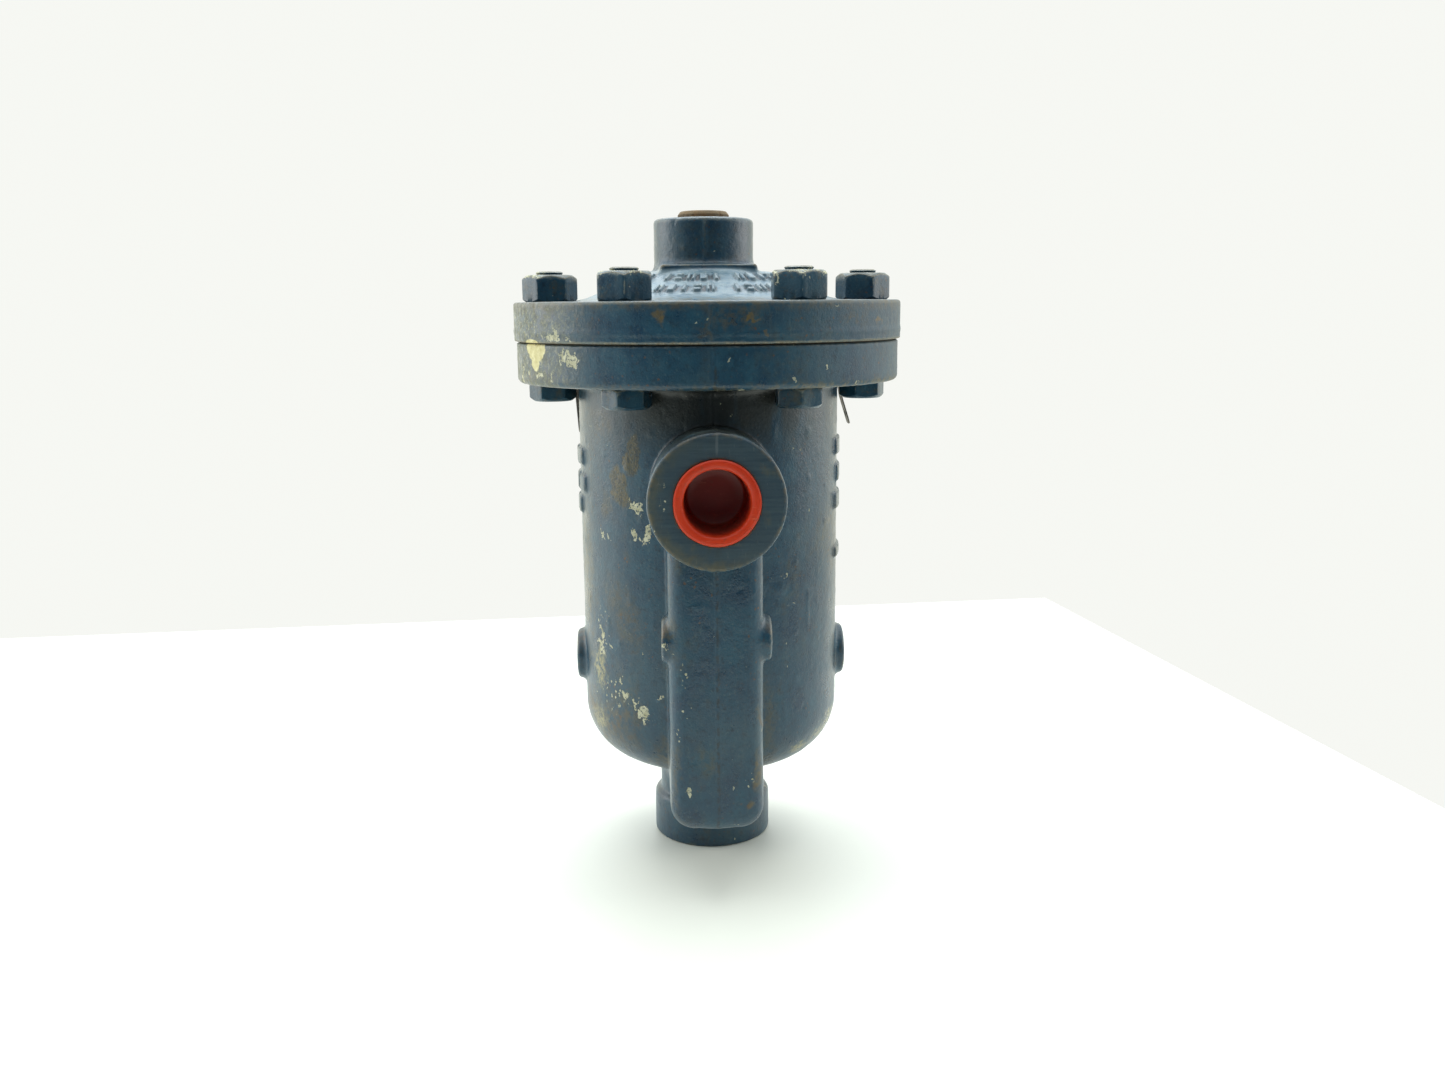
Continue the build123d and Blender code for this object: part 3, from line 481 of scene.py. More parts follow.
def cover_marks(x, y):
    """Distance in plan to the rows of plain cast marks on the cone."""
    g = np.full(np.broadcast_shapes(x.shape, y.shape), 9.0, np.float32)
    for r, step, first, last, size in ((38.4, 8.0, -76, 76, 5.4), (48.6, 6.7, -67, 67, 5.6)):
        n, a = 0, first
        while a <= last:
            n += 1
            if n % 6:
                cx, cy = around(a, r)
                t = math.radians(a)
                u = (x - cx) * math.cos(t) + (y - cy) * math.sin(t)
                v = -(x - cx) * math.sin(t) + (y - cy) * math.cos(t)
                kind = (n * 5 + int(r)) % 4
                if kind == 0:
                    q = box2(u, v, 1.7, size / 2, 0.7)
                elif kind == 1:
                    q = box2(u, v, 0.85, size / 2, 0.5)
                elif kind == 2:
                    q = box2(u, np.abs(v) - size / 4 - 0.3, 1.8, size / 4 - 0.45, 0.4)
                else:
                    q = box2(np.abs(u) - 1.15, v, 0.65, size / 2, 0.4)
                g = np.minimum(g, q)
            a += step
    return g


def cover_field(h):
    f = Field((-93, -93, 237), (93, 93, 298), h)
    f.add(lambda x, y, z: ring(np.hypot(x, y), z, 89.0, 240.45, 257.8, low=0.25, high=1.5))
    def cone(x, y, z, lift=0.0):
        r = np.hypot(x, y)
        return smax((r - 58.5) * 0.4277 + (z - 257.8) * 0.904 - lift, np.maximum(z - 271, 246 - z), 2.0)
    f.add(cone, 3.5)
    def ridge(x, y, z):
        p = np.maximum(-27.3 - y - (z - 262) * 0.028, (z - 273.7))
        p = np.maximum(p, (z - 273.7) * 0.981 + (y - 44) * 0.193)
        p = np.maximum(p, (z - 267.0) * 0.774 + (y - 78) * 0.633)
        p = np.maximum(p, y - 84.0)
        return np.maximum(corner(p, np.abs(x) - 21.6, 1.7), 250 - z)
    f.add(ridge, 3.0, lo=(-32, -40, 250), hi=(32, 90, 280))
    f.add(lambda x, y, z: ring(np.hypot(x - BOSS_X, y), z, 22.8, 262, 294.5, high=1.9), 3.5, lo=(-34, -34, 260), hi=(32, 34, None))
    # plain raised marks on the cone
    def marks(x, y, z):
        r = np.hypot(x, y)
        top = (r - 58.5) * 0.4277 + (z - 257.8) * 0.904 - 1.45
        return np.maximum(corner(top, cover_marks(x, y), 0.3), np.maximum(top - 9, -top - 4))
    f.add(marks, 0.35, lo=(-60, -60, 255), hi=(60, 16, 274))
    # parting fin across the front of the boss, the ridge and the rim
    def fin(x, y, z):
        return np.abs(x - BOSS_X) - 0.5
    f.add(lambda x, y, z: np.maximum(fin(x, y, z), ring(np.hypot(x - BOSS_X, y), z, 23.1, 271, 292)), 0.8, lo=(-6, -30, 268), hi=(4, 30, 294))
    f.add(lambda x, y, z: np.maximum(fin(x, y, z), ring(np.hypot(x, y), z, 89.25, 242.5, 256)), 0.7, lo=(-6, None, 240), hi=(4, None, 258))
    # hollow underside
    def hollow(x, y, z):
        r = np.hypot(x, y)
        d = np.maximum(r - 52, z - 262)
        d = np.maximum(d, (r - 52) * 0.707 + (z - 250) * 0.707)
        return np.maximum(d, (r - 48) * 0.426 + (z - 254) * 0.905)
    f.sub(hollow, lo=(-55, -55, None), hi=(55, 55, 266))
    f.add(lambda x, y, z: np.maximum(box2(x, y - 21, 19, 39, 1.5), np.maximum(246 - z, z - 264)), 1.5, lo=(-24, -24, 243), hi=(24, 64, 264))
    f.add(lambda x, y, z: ring(np.hypot(x, y), z, 19, 246, 264), 1.0, lo=(-24, -24, 243), hi=(24, 24, 264))
    f.sub(lambda x, y, z: np.maximum(box2(x, y - 33, 7.5, 45.5, 6.5), np.abs(z - 257.75) - 4.75), lo=(-12, -16, 250), hi=(12, 82, 266))
    f.sub(lambda x, y, z: np.maximum(np.hypot(x, y - 71) - 7.5, z - 255.6), lo=(-10, 60, None), hi=(10, 82, 258))
    f.sub(lambda x, y, z: np.maximum(np.hypot(x, y - 31) - 8.5, z - 256), lo=(-12, 18, 240), hi=(12, 44, 259))
    def opening(x, y, z):
        r = np.hypot(x - BOSS_X, y)
        a = np.maximum(r - (12.75 - (294.5 - z) * 0.031), 276.5 - z)
        b = np.maximum(r - 11, 257.5 - z)
        return np.minimum(np.minimum(a, b), np.maximum((r - 13.9 + 294.5 - z) * 0.707, 292 - z))
    f.sub(opening, lo=(-18, -18, 254), hi=(16, 18, None))
    f.sub(lambda x, y, z: np.maximum(np.hypot(np.abs(x) - 15.5, y - 43) - 2.0, z - 253), lo=(-20, 38, 240), hi=(20, 48, 256))
    def holes(x, y, z):
        d = 60.0
        for a in BOLT_ANGLES:
            cx, cy = around(a)
            d = np.minimum(d, np.hypot(x - cx, y - cy) - 7.15)
        return d
    f.sub(holes, hi=(None, None, 262))
    return f


def body_calm(x, y, z):
    """1 on as-cast skin, less on faces that were machined: port faces, flange rim and foot."""
    face = np.clip((np.abs(y) - 97.6) / 0.6, 0, 1)
    r = np.hypot(x, y)
    rim = np.clip((r - 84) / 3, 0, 1) * np.clip((z - 219) / 2, 0, 1)
    top = np.clip((z - 238.6) / 0.8, 0, 1)
    return 1 - np.clip(face * 0.94 + rim * 0.45 + top * 0.95 + np.clip((1.5 - z) / 1.2, 0, 1) * 0.85, 0, 0.95)


def cover_calm(x, y, z):
    r = np.hypot(x, y)
    rim = np.clip((r - 85) / 3, 0, 1) * np.clip((260 - z) / 2, 0, 1)
    low = np.clip((241.6 - z) / 0.8, 0, 1)
    return 1 - np.clip(rim * 0.45 + low * 0.95, 0, 0.95)


def simplify(o, target):
    """Collapse decimation to about target triangles; the smooth hidden walls lose most."""
    me = o.data
    m = o.modifiers.new("Decimate", "DECIMATE")
    m.ratio = min(1.0, target / (2 * len(me.polygons)))
    dg = bpy.context.evaluated_depsgraph_get()
    new = bpy.data.meshes.new_from_object(o.evaluated_get(dg), depsgraph=dg)
    o.modifiers.clear()
    o.data = new
    bpy.data.meshes.remove(me)
    new.name = o.name
    new.polygons.foreach_set("use_smooth", np.ones(len(new.polygons), bool))
    return o


# ---------------------------------------------------------------- materials
NAVY, TEAL, DEEP = (0.0065, 0.033, 0.064), (0.0105, 0.061, 0.096), (0.004, 0.015, 0.027)
DUST, RUST, DARK_RUST = (0.165, 0.160, 0.088), (0.150, 0.070, 0.026), (0.040, 0.020, 0.011)
OLIVE = (0.088, 0.076, 0.034)
CREAM, PALE = (0.58, 0.56, 0.40), (0.36, 0.38, 0.36)


def blob(n, co, centre, radii, tilt=0.0, soft=(1.06, 0.9)):
    """1 inside an ellipsoid, 0 outside; co is already warped, so the edge comes out ragged."""
    v = n.vec("SUBTRACT", co, centre)
    if tilt:
        r = n.node("ShaderNodeVectorRotate", rotation_type="Y_AXIS")
        n.put(r.inputs["Vector"], v)
        r.inputs["Angle"].default_value = math.radians(tilt)
        v = r.outputs["Vector"]
    d = n.vec("LENGTH", n.vec("DIVIDE", v, radii))
    return n.step(d, soft[0], soft[1])


def most(n, items):
    out = items[0]
    for i in items[1:]:
        out = n.math("MAXIMUM", out, i)
    return out


def paint(name, kind):
    """Old dark blue enamel on cast iron: haze of dust, rust in the hollows, worn edges and flaked chips, with painted
    shade in the creases, a painted sheen on the cover's cone and a painted shadow under the body's flange.
    """
    n = Nodes(name)
    co = n.coord()
    x, y, z = n.split(co)
    edge, hollow = n.attr("edge"), n.attr("hollow")
    up = n.split(n.normal())[2]
    big = n.noise(co, 48, 3, 0.6)
    mid = n.noise(co, 11, 4, 0.62)
    small = n.noise(co, 3.2, 4, 0.65)
    fine = n.noise(co, 0.9, 2, 0.6)
    streak = n.noise(n.coord(stretch=(1, 1, 0.16), move=(3, 7, 0)), 6.5, 4, 0.6)
    warp = n.vec("ADD", co, n.vec("SCALE", n.vec("SUBTRACT", n.noise_colour(co, 4.2, 4), (0.5, 0.5, 0.5)), scale=9.0))

    colour = n.mix(n.span(mid, 0.3, 0.7), NAVY, TEAL)
    colour = n.mix(n.math("MULTIPLY", n.step(big, 0.5, 0.68), 0.55), colour, (0.026, 0.068, 0.094))
    colour = n.mix(n.math("MULTIPLY", n.step(small, 0.52, 0.72), 0.55), colour, DEEP)
    # dust haze: patchy, in vertical streaks on walls, thicker on upward faces
    lie = n.step(up, 0.35, 0.95)
    haze = n.math("MULTIPLY", n.step(streak, 0.46, 0.74), n.step(big, 0.40, 0.62))
    haze = n.math("MULTIPLY_ADD", n.math("MULTIPLY", haze, n.span(small, 0.3, 0.62)), 0.10 if kind == "cover" else 0.16, n.math("MULTIPLY", lie, n.span(mid, 0.34, 0.62, 0.0, 0.12 if kind == "cover" else 0.34)))
    if kind != "fastener":
        side = n.math("MULTIPLY", n.step(n.math("MULTIPLY_ADD", mid, 26.0, x), -34, -66), n.step(z, 214, 222))
        haze = n.math("MULTIPLY_ADD", side, n.span(n.noise(co, 4.5, 4, 0.75), 0.40, 0.60, 0.0, 0.7), haze)
        other = n.math("MULTIPLY", n.step(n.math("MULTIPLY_ADD", mid, -26.0, x), 44, 78), n.step(z, 214, 222))
        haze = n.math("MULTIPLY_ADD", other, n.span(n.noise(co, 1.9, 4, 0.75), 0.42, 0.66, 0.0, 0.30), haze)
        veil = n.math("MULTIPLY", n.math("MULTIPLY", side, n.span(mid, 0.36, 0.6, 0.4, 1.0)), n.step(n.noise(n.coord(), 1.8, 3, 0.8), 0.50, 0.62))
        dark_spots = n.math("MULTIPLY", side, n.step(n.noise(n.coord(move=(9, 4, 2)), 3.0, 4, 0.8), 0.49, 0.39))
    if kind == "body":
        foot = n.step(z, 30, 6)
        haze = n.math("MULTIPLY_ADD", foot, n.span(small, 0.4, 0.7, 0.0, 0.10), haze)
    colour = n.mix(n.math("MINIMUM", haze, 0.85), colour, DUST)
    olive = n.math("MULTIPLY", n.step(n.noise(n.coord(stretch=(1, 1, 0.55), move=(31, 5, 17)), 30, 3, 0.6), 0.53, 0.68), n.step(small, 0.36, 0.58))
    if kind == "body":
        olive = n.math("MULTIPLY", olive, n.math("MULTIPLY", n.step(z, 22, 32), n.span(z, 219, 222, 1.0, 0.3)))
    colour = n.mix(n.math("MULTIPLY", olive, 0.16 if kind == "cover" else 0.45), colour, OLIVE)
    grain = n.noise(co, 1.5, 3, 0.7)
    if kind != "fastener":
        colour = n.mix(n.math("MULTIPLY", veil, 0.60), colour, (0.40, 0.38, 0.22))
        colour = n.mix(n.math("MULTIPLY", dark_spots, 0.75), colour, (0.016, 0.026, 0.022))
    colour = n.mix(n.math("MULTIPLY", n.step(grain, 0.57, 0.68), 0.5), colour, DEEP)
    colour = n.mix(n.math("MULTIPLY", n.step(grain, 0.43, 0.34), 0.30), colour, (0.070, 0.108, 0.108))
    # rust that has bled out of the hollows and pin holes
    low = n.math("MULTIPLY_ADD", n.math("SUBTRACT", small, 0.5), 0.42, n.math("MULTIPLY", hollow, -1.0))
    grime = n.step(low, 0.10, 0.34)
    colour = n.mix(n.math("MULTIPLY", grime, 0.62), colour, n.mix(n.span(mid, 0.4, 0.6), (0.016, 0.016, 0.014), (0.052, 0.038, 0.022)))
    pits = n.cells(n.vec("ADD", co, n.vec("SCALE", n.noise_colour(co, 2.0, 2), scale=1.6)), 2.6)
    dots = n.math("MULTIPLY", n.step(pits, 0.27, 0.14), n.step(n.noise(co, 15, 3, 0.7), 0.52, 0.66))
    colour = n.mix(n.math("MULTIPLY", dots, 0.75), colour, n.mix(small, DARK_RUST, RUST))
    # painted shade: creases and hollows, where the edge value is negative, darkened to near black
    crease_shade = n.step(n.math("MULTIPLY_ADD", n.math("SUBTRACT", small, 0.5), 0.10, edge), -0.07, -0.24)
    colour = n.mix(n.math("MULTIPLY", crease_shade, 0.85), colour, (0.006, 0.010, 0.013))
    cone = n.math("MULTIPLY", n.step(z, 257.2, 258.4), n.step(z, 272.4, 270.8)) if kind == "cover" else None
    if kind == "cover":
        # painted sheen: the cone coloured a lighter blue, standing in for the reflection of the bright overhead light,
        # except in the creases
        cone_sheen = n.math("MULTIPLY", n.math("MULTIPLY", cone, n.span(mid, 0.34, 0.66, 0.55, 1.0)), n.math("SUBTRACT", 1.0, crease_shade))
        colour = n.mix(cone_sheen, colour, n.mix(n.span(small, 0.36, 0.6), (0.120, 0.200, 0.250), (0.205, 0.275, 0.295)))
    # wear along edges: paint thinned to a pale line, brown where it has gone through
    worn = n.math("MULTIPLY_ADD", n.math("SUBTRACT", small, 0.5), 0.34, edge)
    thin = n.step(worn, 0.10, 0.24)
    through = n.step(worn, 0.25, 0.36)
    pale = (0.42, 0.43, 0.37) if kind == "fastener" else (0.135, 0.155, 0.140)
    if kind == "cover":
        thin = n.math("MULTIPLY", thin, n.math("MULTIPLY_ADD", cone, -0.8, 1.0))
        through = n.math("MULTIPLY", through, n.math("MULTIPLY_ADD", cone, -0.9, 1.0))
    colour = n.mix(n.math("MULTIPLY", thin, 0.6), colour, n.mix(n.span(mid, 0.46, 0.66), pale, (0.19, 0.165, 0.10)))
    colour = n.mix(n.math("MULTIPLY", through, 0.8), colour, n.mix(n.span(fine, 0.35, 0.65), (0.30, 0.27, 0.19), (0.115, 0.075, 0.036)))
    bare = n.math("MULTIPLY", through, 0.6)

    rough = n.span(mid, 0.3, 0.7, 0.25, 0.37)
    rough = n.mixf(n.math("MINIMUM", n.math("MULTIPLY_ADD", haze, 0.9, n.math("MULTIPLY", grime, 0.6)), 1.0), rough, 0.78)
    if kind != "fastener":
        rough = n.mixf(n.math("MULTIPLY", n.step(x, 20, 60), n.step(z, 220, 223)), rough, 0.55)
    lift = n.math("MULTIPLY_ADD", grain, 0.42, n.math("MULTIPLY_ADD", small, 0.16, n.math("MULTIPLY", fine, 0.34)))

    cell = n.node("ShaderNodeTexVoronoi")
    n.put(cell.inputs["Vector"], warp)
    cell.inputs["Scale"].default_value = 1.0 / 6.5
    pick = n.split(cell.outputs["Color"])[0]
    flecks = n.math("MULTIPLY", n.step(cell.outputs["Distance"], 0.105, 0.075), n.math("MULTIPLY", n.step(pick, 0.80, 0.82), n.step(big, 0.42, 0.52)))
    rare = n.math("MULTIPLY", n.step(n.noise(warp, 9, 3, 0.6), 0.70, 0.715), n.step(n.noise(co, 60, 1, 0.5), 0.48, 0.56))
    tiny = n.node("ShaderNodeTexVoronoi")
    n.put(tiny.inputs["Vector"], n.vec("ADD", co, n.vec("SCALE", n.noise_colour(co, 1.1, 2), scale=1.2)))
    tiny.inputs["Scale"].default_value = 1.0 / 2.0
    speck = n.math("MULTIPLY", n.step(tiny.outputs["Distance"], 0.30, 0.20), n.step(n.split(tiny.outputs["Color"])[0], 0.52, 0.56))
    ragged = n.vec("ADD", warp, n.vec("SCALE", n.vec("SUBTRACT", n.noise_colour(co, 1.3, 3), (0.5, 0.5, 0.5)), scale=3.4))
    torn = n.step(n.noise(co, 1.15, 3, 0.75), 0.405, 0.455)
    chips = [n.math("MULTIPLY", rare, torn), n.math("MULTIPLY", flecks, 0.6)]
    if kind == "body":
        front = n.step(y, -6, -12)
        spots = [((-33.2, -50.5, 168.5), (3.6, 20, 2.7), 15), ((-35.6, -49, 171), (1.3, 20, 1.6), 0), ((-29.0, -53, 157.0), (2.4, 20, 4.2), -18), ((-34.5, -49.6, 156.6), (1.2, 20, 3.0), 0),
                 ((-50.8, -32.5, 108.5), (1.2, 14, 5.0), 5), ((-51.4, -31.6, 101.5), (1.3, 14, 3.2), -10), ((-42, -43.5, 88), (1.0, 14, 1.6), 0), ((-47, -38, 104), (0.7, 14, 1.8), 40),
                 ((-40, -45.3, 82.5), (1.3, 14, 2.0), 10), ((-36.6, -48, 79.2), (1.3, 14, 2.6), 0), ((-32.6, -51, 75.8), (2.2, 14, 3.0), -20), ((-31.2, -52, 71.4), (1.0, 14, 1.5), 0),
                 ((-44, -41.5, 76), (0.7, 14, 1.2), 0), ((-49.4, -35, 154.5), (0.8, 14, 2.3), 12), ((-12.7, -86, 50.2), (1.5, 8, 1.3), 0), ((-24.5, -55, 84.6), (1.0, 10, 1.3), 0),
                 ((-60.8, -64, 236.6), (2.8, 9, 1.9), 25), ((-58.6, -66, 232.8), (2.5, 9, 3.2), 10), ((-63.4, -61.5, 233.0), (1.2, 9, 1.8), 0), ((-79.6, -38, 227.3), (1.0, 9, 1.2), 0),
                 ((-74.0, -47.5, 226.6), (2.2, 9, 1.4), 20), ((-68.0, -56, 226.4), (0.9, 9, 1.8), 0)]
        marks = most(n, [blob(n, ragged, c, r, t) for c, r, t in spots])
        chips.append(n.math("MULTIPLY", n.math("MULTIPLY", marks, front), torn))
        dusty = most(n, [blob(n, ragged, c, r, 0, (1.3, 0.5)) for c, r in (((13.6, -86, 56.5), (2.4, 8, 5.0)), ((-14.4, -86, 94), (2.0, 8, 16)), ((-17, -86, 74), (1.4, 8, 7)), ((-58.6, -66, 233.5), (3.4, 9, 5.0)),
                                                                          ((-49.5, -34, 112), (3, 12, 10)), ((-46, -39, 82), (5, 12, 9)), ((-21, -98, 181), (3.2, 3, 5)), ((-24.5, -98, 166), (1.6, 3, 5)),
                                                                          ((54, -26, 62), (6, 12, 7)), ((42, -43, 54), (7, 12, 3.5)))])
        chips.append(n.math("MULTIPLY", n.math("MULTIPLY", dusty, front), speck))
        # one flaked heart-shaped patch at the left of the flange, down to the primer
        calm = n.vec("ADD", co, n.vec("SCALE", n.vec("SUBTRACT", n.noise_colour(co, 2.2, 3), (0.5, 0.5, 0.5)), scale=1.7))
        heart = most(n, [blob(n, calm, (-77.8, -41.5, 238.4), (2.7, 12, 3.4)), blob(n, calm, (-73.0, -48, 238.2), (2.7, 12, 3.4)),
                         blob(n, calm, (-75.5, -46, 235.6), (4.2, 12, 3.4)), blob(n, calm, (-75.9, -46, 231.6), (2.0, 12, 3.2), 0)])
        # a long rust bloom on the barrel, in two lobes, mottled and cracked dark
        bloom_co = n.vec("ADD", co, n.vec("SCALE", n.vec("SUBTRACT", n.noise_colour(co, 6.0, 4), (0.5, 0.5, 0.5)), scale=8.0))
        bloom = n.math("MULTIPLY", most(n, [blob(n, bloom_co, (-34.8, -49.2, 191.5), (3.6, 26, 9.5), -8, (1.15, 0.85)), blob(n, bloom_co, (-41.0, -44, 177.0), (3.6, 26, 9.0), 12, (1.2, 0.8)),
                                            n.math("MULTIPLY", blob(n, bloom_co, (-47.5, -37.5, 169), (2.4, 26, 6), 0, (1.4, 0.6)), 0.5)]), front)
        crack = n.noise(n.coord(stretch=(1, 1, 0.45), rotate=(0, 0.2, 0)), 2.6, 3, 0.6, 1.2)
        crack = n.step(n.math("ABSOLUTE", n.math("SUBTRACT", crack, 0.5)), 0.045, 0.015)
        bloomc = n.mix(n.span(small, 0.34, 0.64), (0.050, 0.046, 0.022), (0.102, 0.079, 0.030))
        bloomc = n.mix(n.math("MULTIPLY", crack, 0.85), bloomc, (0.010, 0.013, 0.014))
        colour = n.mix(n.math("MULTIPLY", bloom, n.span(fine, 0.30, 0.55, 0.50, 0.95)), colour, bloomc)
        # olive-brown stains: lower left of the barrel, the knuckle, the chaplets and the right edge of the channel
        stains = [((-40, -44, 118), (9, 26, 22), 20, 0.45), ((-45, -38, 62), (16, 26, 12), 35, 0.6), ((-22, -55, 50), (9, 14, 5), 0, 0.5), ((57, -20, 150), (6, 22, 24), 0, 0.40),
                  ((18, -86, 60), (2.4, 9, 10), 0, 0.95), ((18.6, -86, 82), (1.5, 9, 7), 0, 0.8), ((12.6, -86, 45.8), (1.7, 9, 1.9), 0, 0.9), ((-23, -76, 118), (4, 12, 8), 0, 0.9), ((23, -76, 118), (4, 12, 8), 0, 0.6),
                  ((-63, 0, 94), (4, 12, 9), 0, 0.8), ((64, -4, 88), (2, 14, 10), 0, 0.55), ((-57, -20, 70), (5, 20, 12), 0, 0.75), ((-50, -34, 58), (6, 16, 8), 0, 0.75), ((-57, -20, 120), (3.5, 20, 40), 0, 0.5), ((57, -21, 100), (3.5, 20, 40), 0, 0.35), ((-50, -36, 205), (6, 16, 10), 0, 0.4),
                  ((-17.5, -86, 58), (1.8, 9, 16), 0, 0.55), ((30, 50, 80), (14, 26, 26), 20, 0.5), ((-35, 46, 150), (12, 26, 30), -10, 0.5), ((58, 22, 120), (10, 16, 26), 0, 0.45)]
        wide = n.vec("ADD", co, n.vec("SCALE", n.vec("SUBTRACT", n.noise_colour(co, 9.0, 4), (0.5, 0.5, 0.5)), scale=14.0))
        stain = most(n, [n.math("MULTIPLY", blob(n, wide, c, r, t, (1.25, 0.35)), k) for c, r, t, k in stains])
        stain = n.math("MULTIPLY", stain, n.span(small, 0.36, 0.60, 0.15, 1.0))
        colour = n.mix(stain, colour, n.mix(n.span(mid, 0.4, 0.62), (0.092, 0.084, 0.044), (0.105, 0.062, 0.024)))
        # yellow-grey deposit at the right of the knuckle, and a painted shadow under the flange
        crust = most(n, [blob(n, warp, c, r, 0, (1.25, 0.3)) for c, r in (((55.5, -23, 62.5), (5.5, 14, 5.5)), ((50.5, -33, 57.5), (6, 14, 4.5)), ((41, -44, 53.5), (7, 14, 3.6)),
                                                                                ((-52, -30, 92), (3.6, 14, 12)), ((-53, -29, 66), (4, 14, 8)))])
        colour = n.mix(n.math("MULTIPLY", crust, n.span(n.noise(co, 2.0, 4, 0.75), 0.40, 0.56, 0.0, 0.95)), colour, (0.28, 0.25, 0.12))
        # painted shadow under the flange: a dark streaky band from z 186 to 222, strongest where |x| is small
        under_flange_shadow = n.math("MULTIPLY", n.math("MULTIPLY", n.step(z, 186, 212), n.step(z, 222.6, 221.4)), n.step(n.noise(n.coord(stretch=(1, 1, 0.25)), 9, 3), 0.30, 0.52))
        colour = n.mix(n.math("MULTIPLY", under_flange_shadow, n.span(n.math("ABSOLUTE", x), 26, 48, 0.93, 0.30)), colour, (0.017, 0.017, 0.012))
        # the parting seam: dark broken line up the front
        seam = n.math("MULTIPLY", n.step(n.math("ABSOLUTE", n.math("MULTIPLY_ADD", n.math("SUBTRACT", mid, 0.5), 1.6, x)), 0.9, 0.3), n.step(small, 0.42, 0.55))
        colour = n.mix(n.math("MULTIPLY", seam, 0.55), colour, (0.016, 0.017, 0.017))
        under = n.math("MULTIPLY", n.math("MULTIPLY", n.step(z, 226, 222.5), n.math("MULTIPLY", n.step(z, 220.5, 221.6), n.step(n.vec("LENGTH", n.join(x, y, 0.0)), 84, 86))), n.step(small, 0.44, 0.60))
        colour = n.mix(n.math("MULTIPLY", under, n.span(x, -20, 60, 0.25, 0.75)), colour, (0.135, 0.115, 0.060))
        # port faces: faced off, thin matt coat with tool and scuff lines
        turned = n.step(n.math("ABSOLUTE", y), 97.7, 98.2)
        lines = n.noise(n.coord(stretch=(0.10, 1, 1.9)), 2.2, 4, 0.7)
        facec = n.mix(n.span(lines, 0.34, 0.66), (0.009, 0.027, 0.043), (0.030, 0.056, 0.066))
        ring_in = n.vec("LENGTH", n.join(x, 0.0, n.math("SUBTRACT", z, PORT_Z)))
        dirty = n.math("MULTIPLY", n.step(n.math("MULTIPLY_ADD", mid, 13.0, ring_in), 28, 34), n.step(n.math("ADD", x, n.math("MULTIPLY", z, 0.6)), 118, 92))
        dirty = n.math("MAXIMUM", dirty, n.math("MULTIPLY", n.step(mid, 0.55, 0.68), 0.7))
        facec = n.mix(n.math("MULTIPLY", dirty, n.span(small, 0.3, 0.6, 0.2, 0.75)), facec, OLIVE)
        scratch = n.noise(n.coord(stretch=(1.6, 1, 0.22), rotate=(0, 0.8, 0)), 1.3, 3, 0.7)
        facec = n.mix(n.math("MULTIPLY", n.step(scratch, 0.64, 0.70), 0.35), facec, (0.13, 0.14, 0.12))
        topline = n.math("MULTIPLY", n.step(n.math("ABSOLUTE", n.math("MULTIPLY_ADD", n.math("SUBTRACT", mid, 0.5), 1.2, x)), 0.7, 0.3), n.step(z, 196, 199))
        facec = n.mix(n.math("MULTIPLY", topline, 0.6), facec, (0.10, 0.125, 0.13))
        rimrust = n.math("MULTIPLY", n.math("MULTIPLY", n.step(ring_in, 26.2, 28.0), n.step(small, 0.44, 0.56)), turned)
        colour = n.mix(n.math("MULTIPLY", turned, 0.80), colour, facec)
        colour = n.mix(n.math("MULTIPLY", rimrust, 0.6), colour, (0.115, 0.085, 0.040))
        rough = n.mixf(turned, rough, n.span(lines, 0.3, 0.7, 0.42, 0.62))
        lift = n.mixf(turned, lift, n.math("MULTIPLY", lines, 0.3))
    if kind == "cover":
        tool = n.noise(n.coord(stretch=(1, 1, 0.06)), 1.1, 3, 0.7)
        tool = n.math("MULTIPLY", n.math("MULTIPLY", n.step(tool, 0.56, 0.66), n.step(x, 6, 30)), n.math("MULTIPLY", n.step(z, 257, 255), n.step(y, 10, -10)))
        colour = n.mix(n.math("MULTIPLY", tool, 0.35), colour, (0.060, 0.088, 0.092))
        brown = most(n, [blob(n, warp, c, r, 0, (1.4, 0.3)) for c, r in (((8, -88, 251), (14, 9, 5)), ((-3, -88, 246), (5, 9, 4)), ((60, -66, 251), (7, 9, 3)))])
        colour = n.mix(n.math("MULTIPLY", brown, n.span(n.noise(co, 2.6, 4, 0.7), 0.42, 0.60, 0.0, 0.55)), colour, (0.080, 0.062, 0.030))
        rimline = n.math("MULTIPLY", n.step(z, 252.0, 257.5), n.step(z, 260, 258.5))
        colour = n.mix(n.math("MULTIPLY", rimline, n.span(small, 0.36, 0.60, 0.0, 0.6)), colour, (0.105, 0.080, 0.040))
        spots = most(n, [blob(n, warp, c, r, 0, (1.35, 0.45)) for c, r in (((-22, -86, 251.5), (1.9, 9, 3.0)), ((15, -88, 250.5), (3.5, 9, 0.8)), ((22, -86, 245), (1.2, 9, 0.9)),
                                                          ((71, -53, 249), (2.0, 9, 1.2)), ((78, 40, 249), (5, 12, 2)), ((-60, 65, 250), (6, 12, 2)))])
        colour = n.mix(n.math("MULTIPLY", spots, n.span(small, 0.3, 0.6, 0.3, 0.85)), colour, (0.125, 0.085, 0.026))
        flake = most(n, [blob(n, ragged, c, r) for c, r in (((-67, -58.5, 242.8), (3.2, 9, 1.7)), ((-65, -60.5, 245.4), (1.2, 9, 1.1)), ((-60, -65, 242), (1.6, 9, 0.8)))])
        chips.append(n.math("MULTIPLY", flake, torn))
        heart = n.math("MULTIPLY", blob(n, co, (-77.2, -43.0, 240.6), (3.6, 12, 1.5)), 1.0)
    if kind == "fastener":
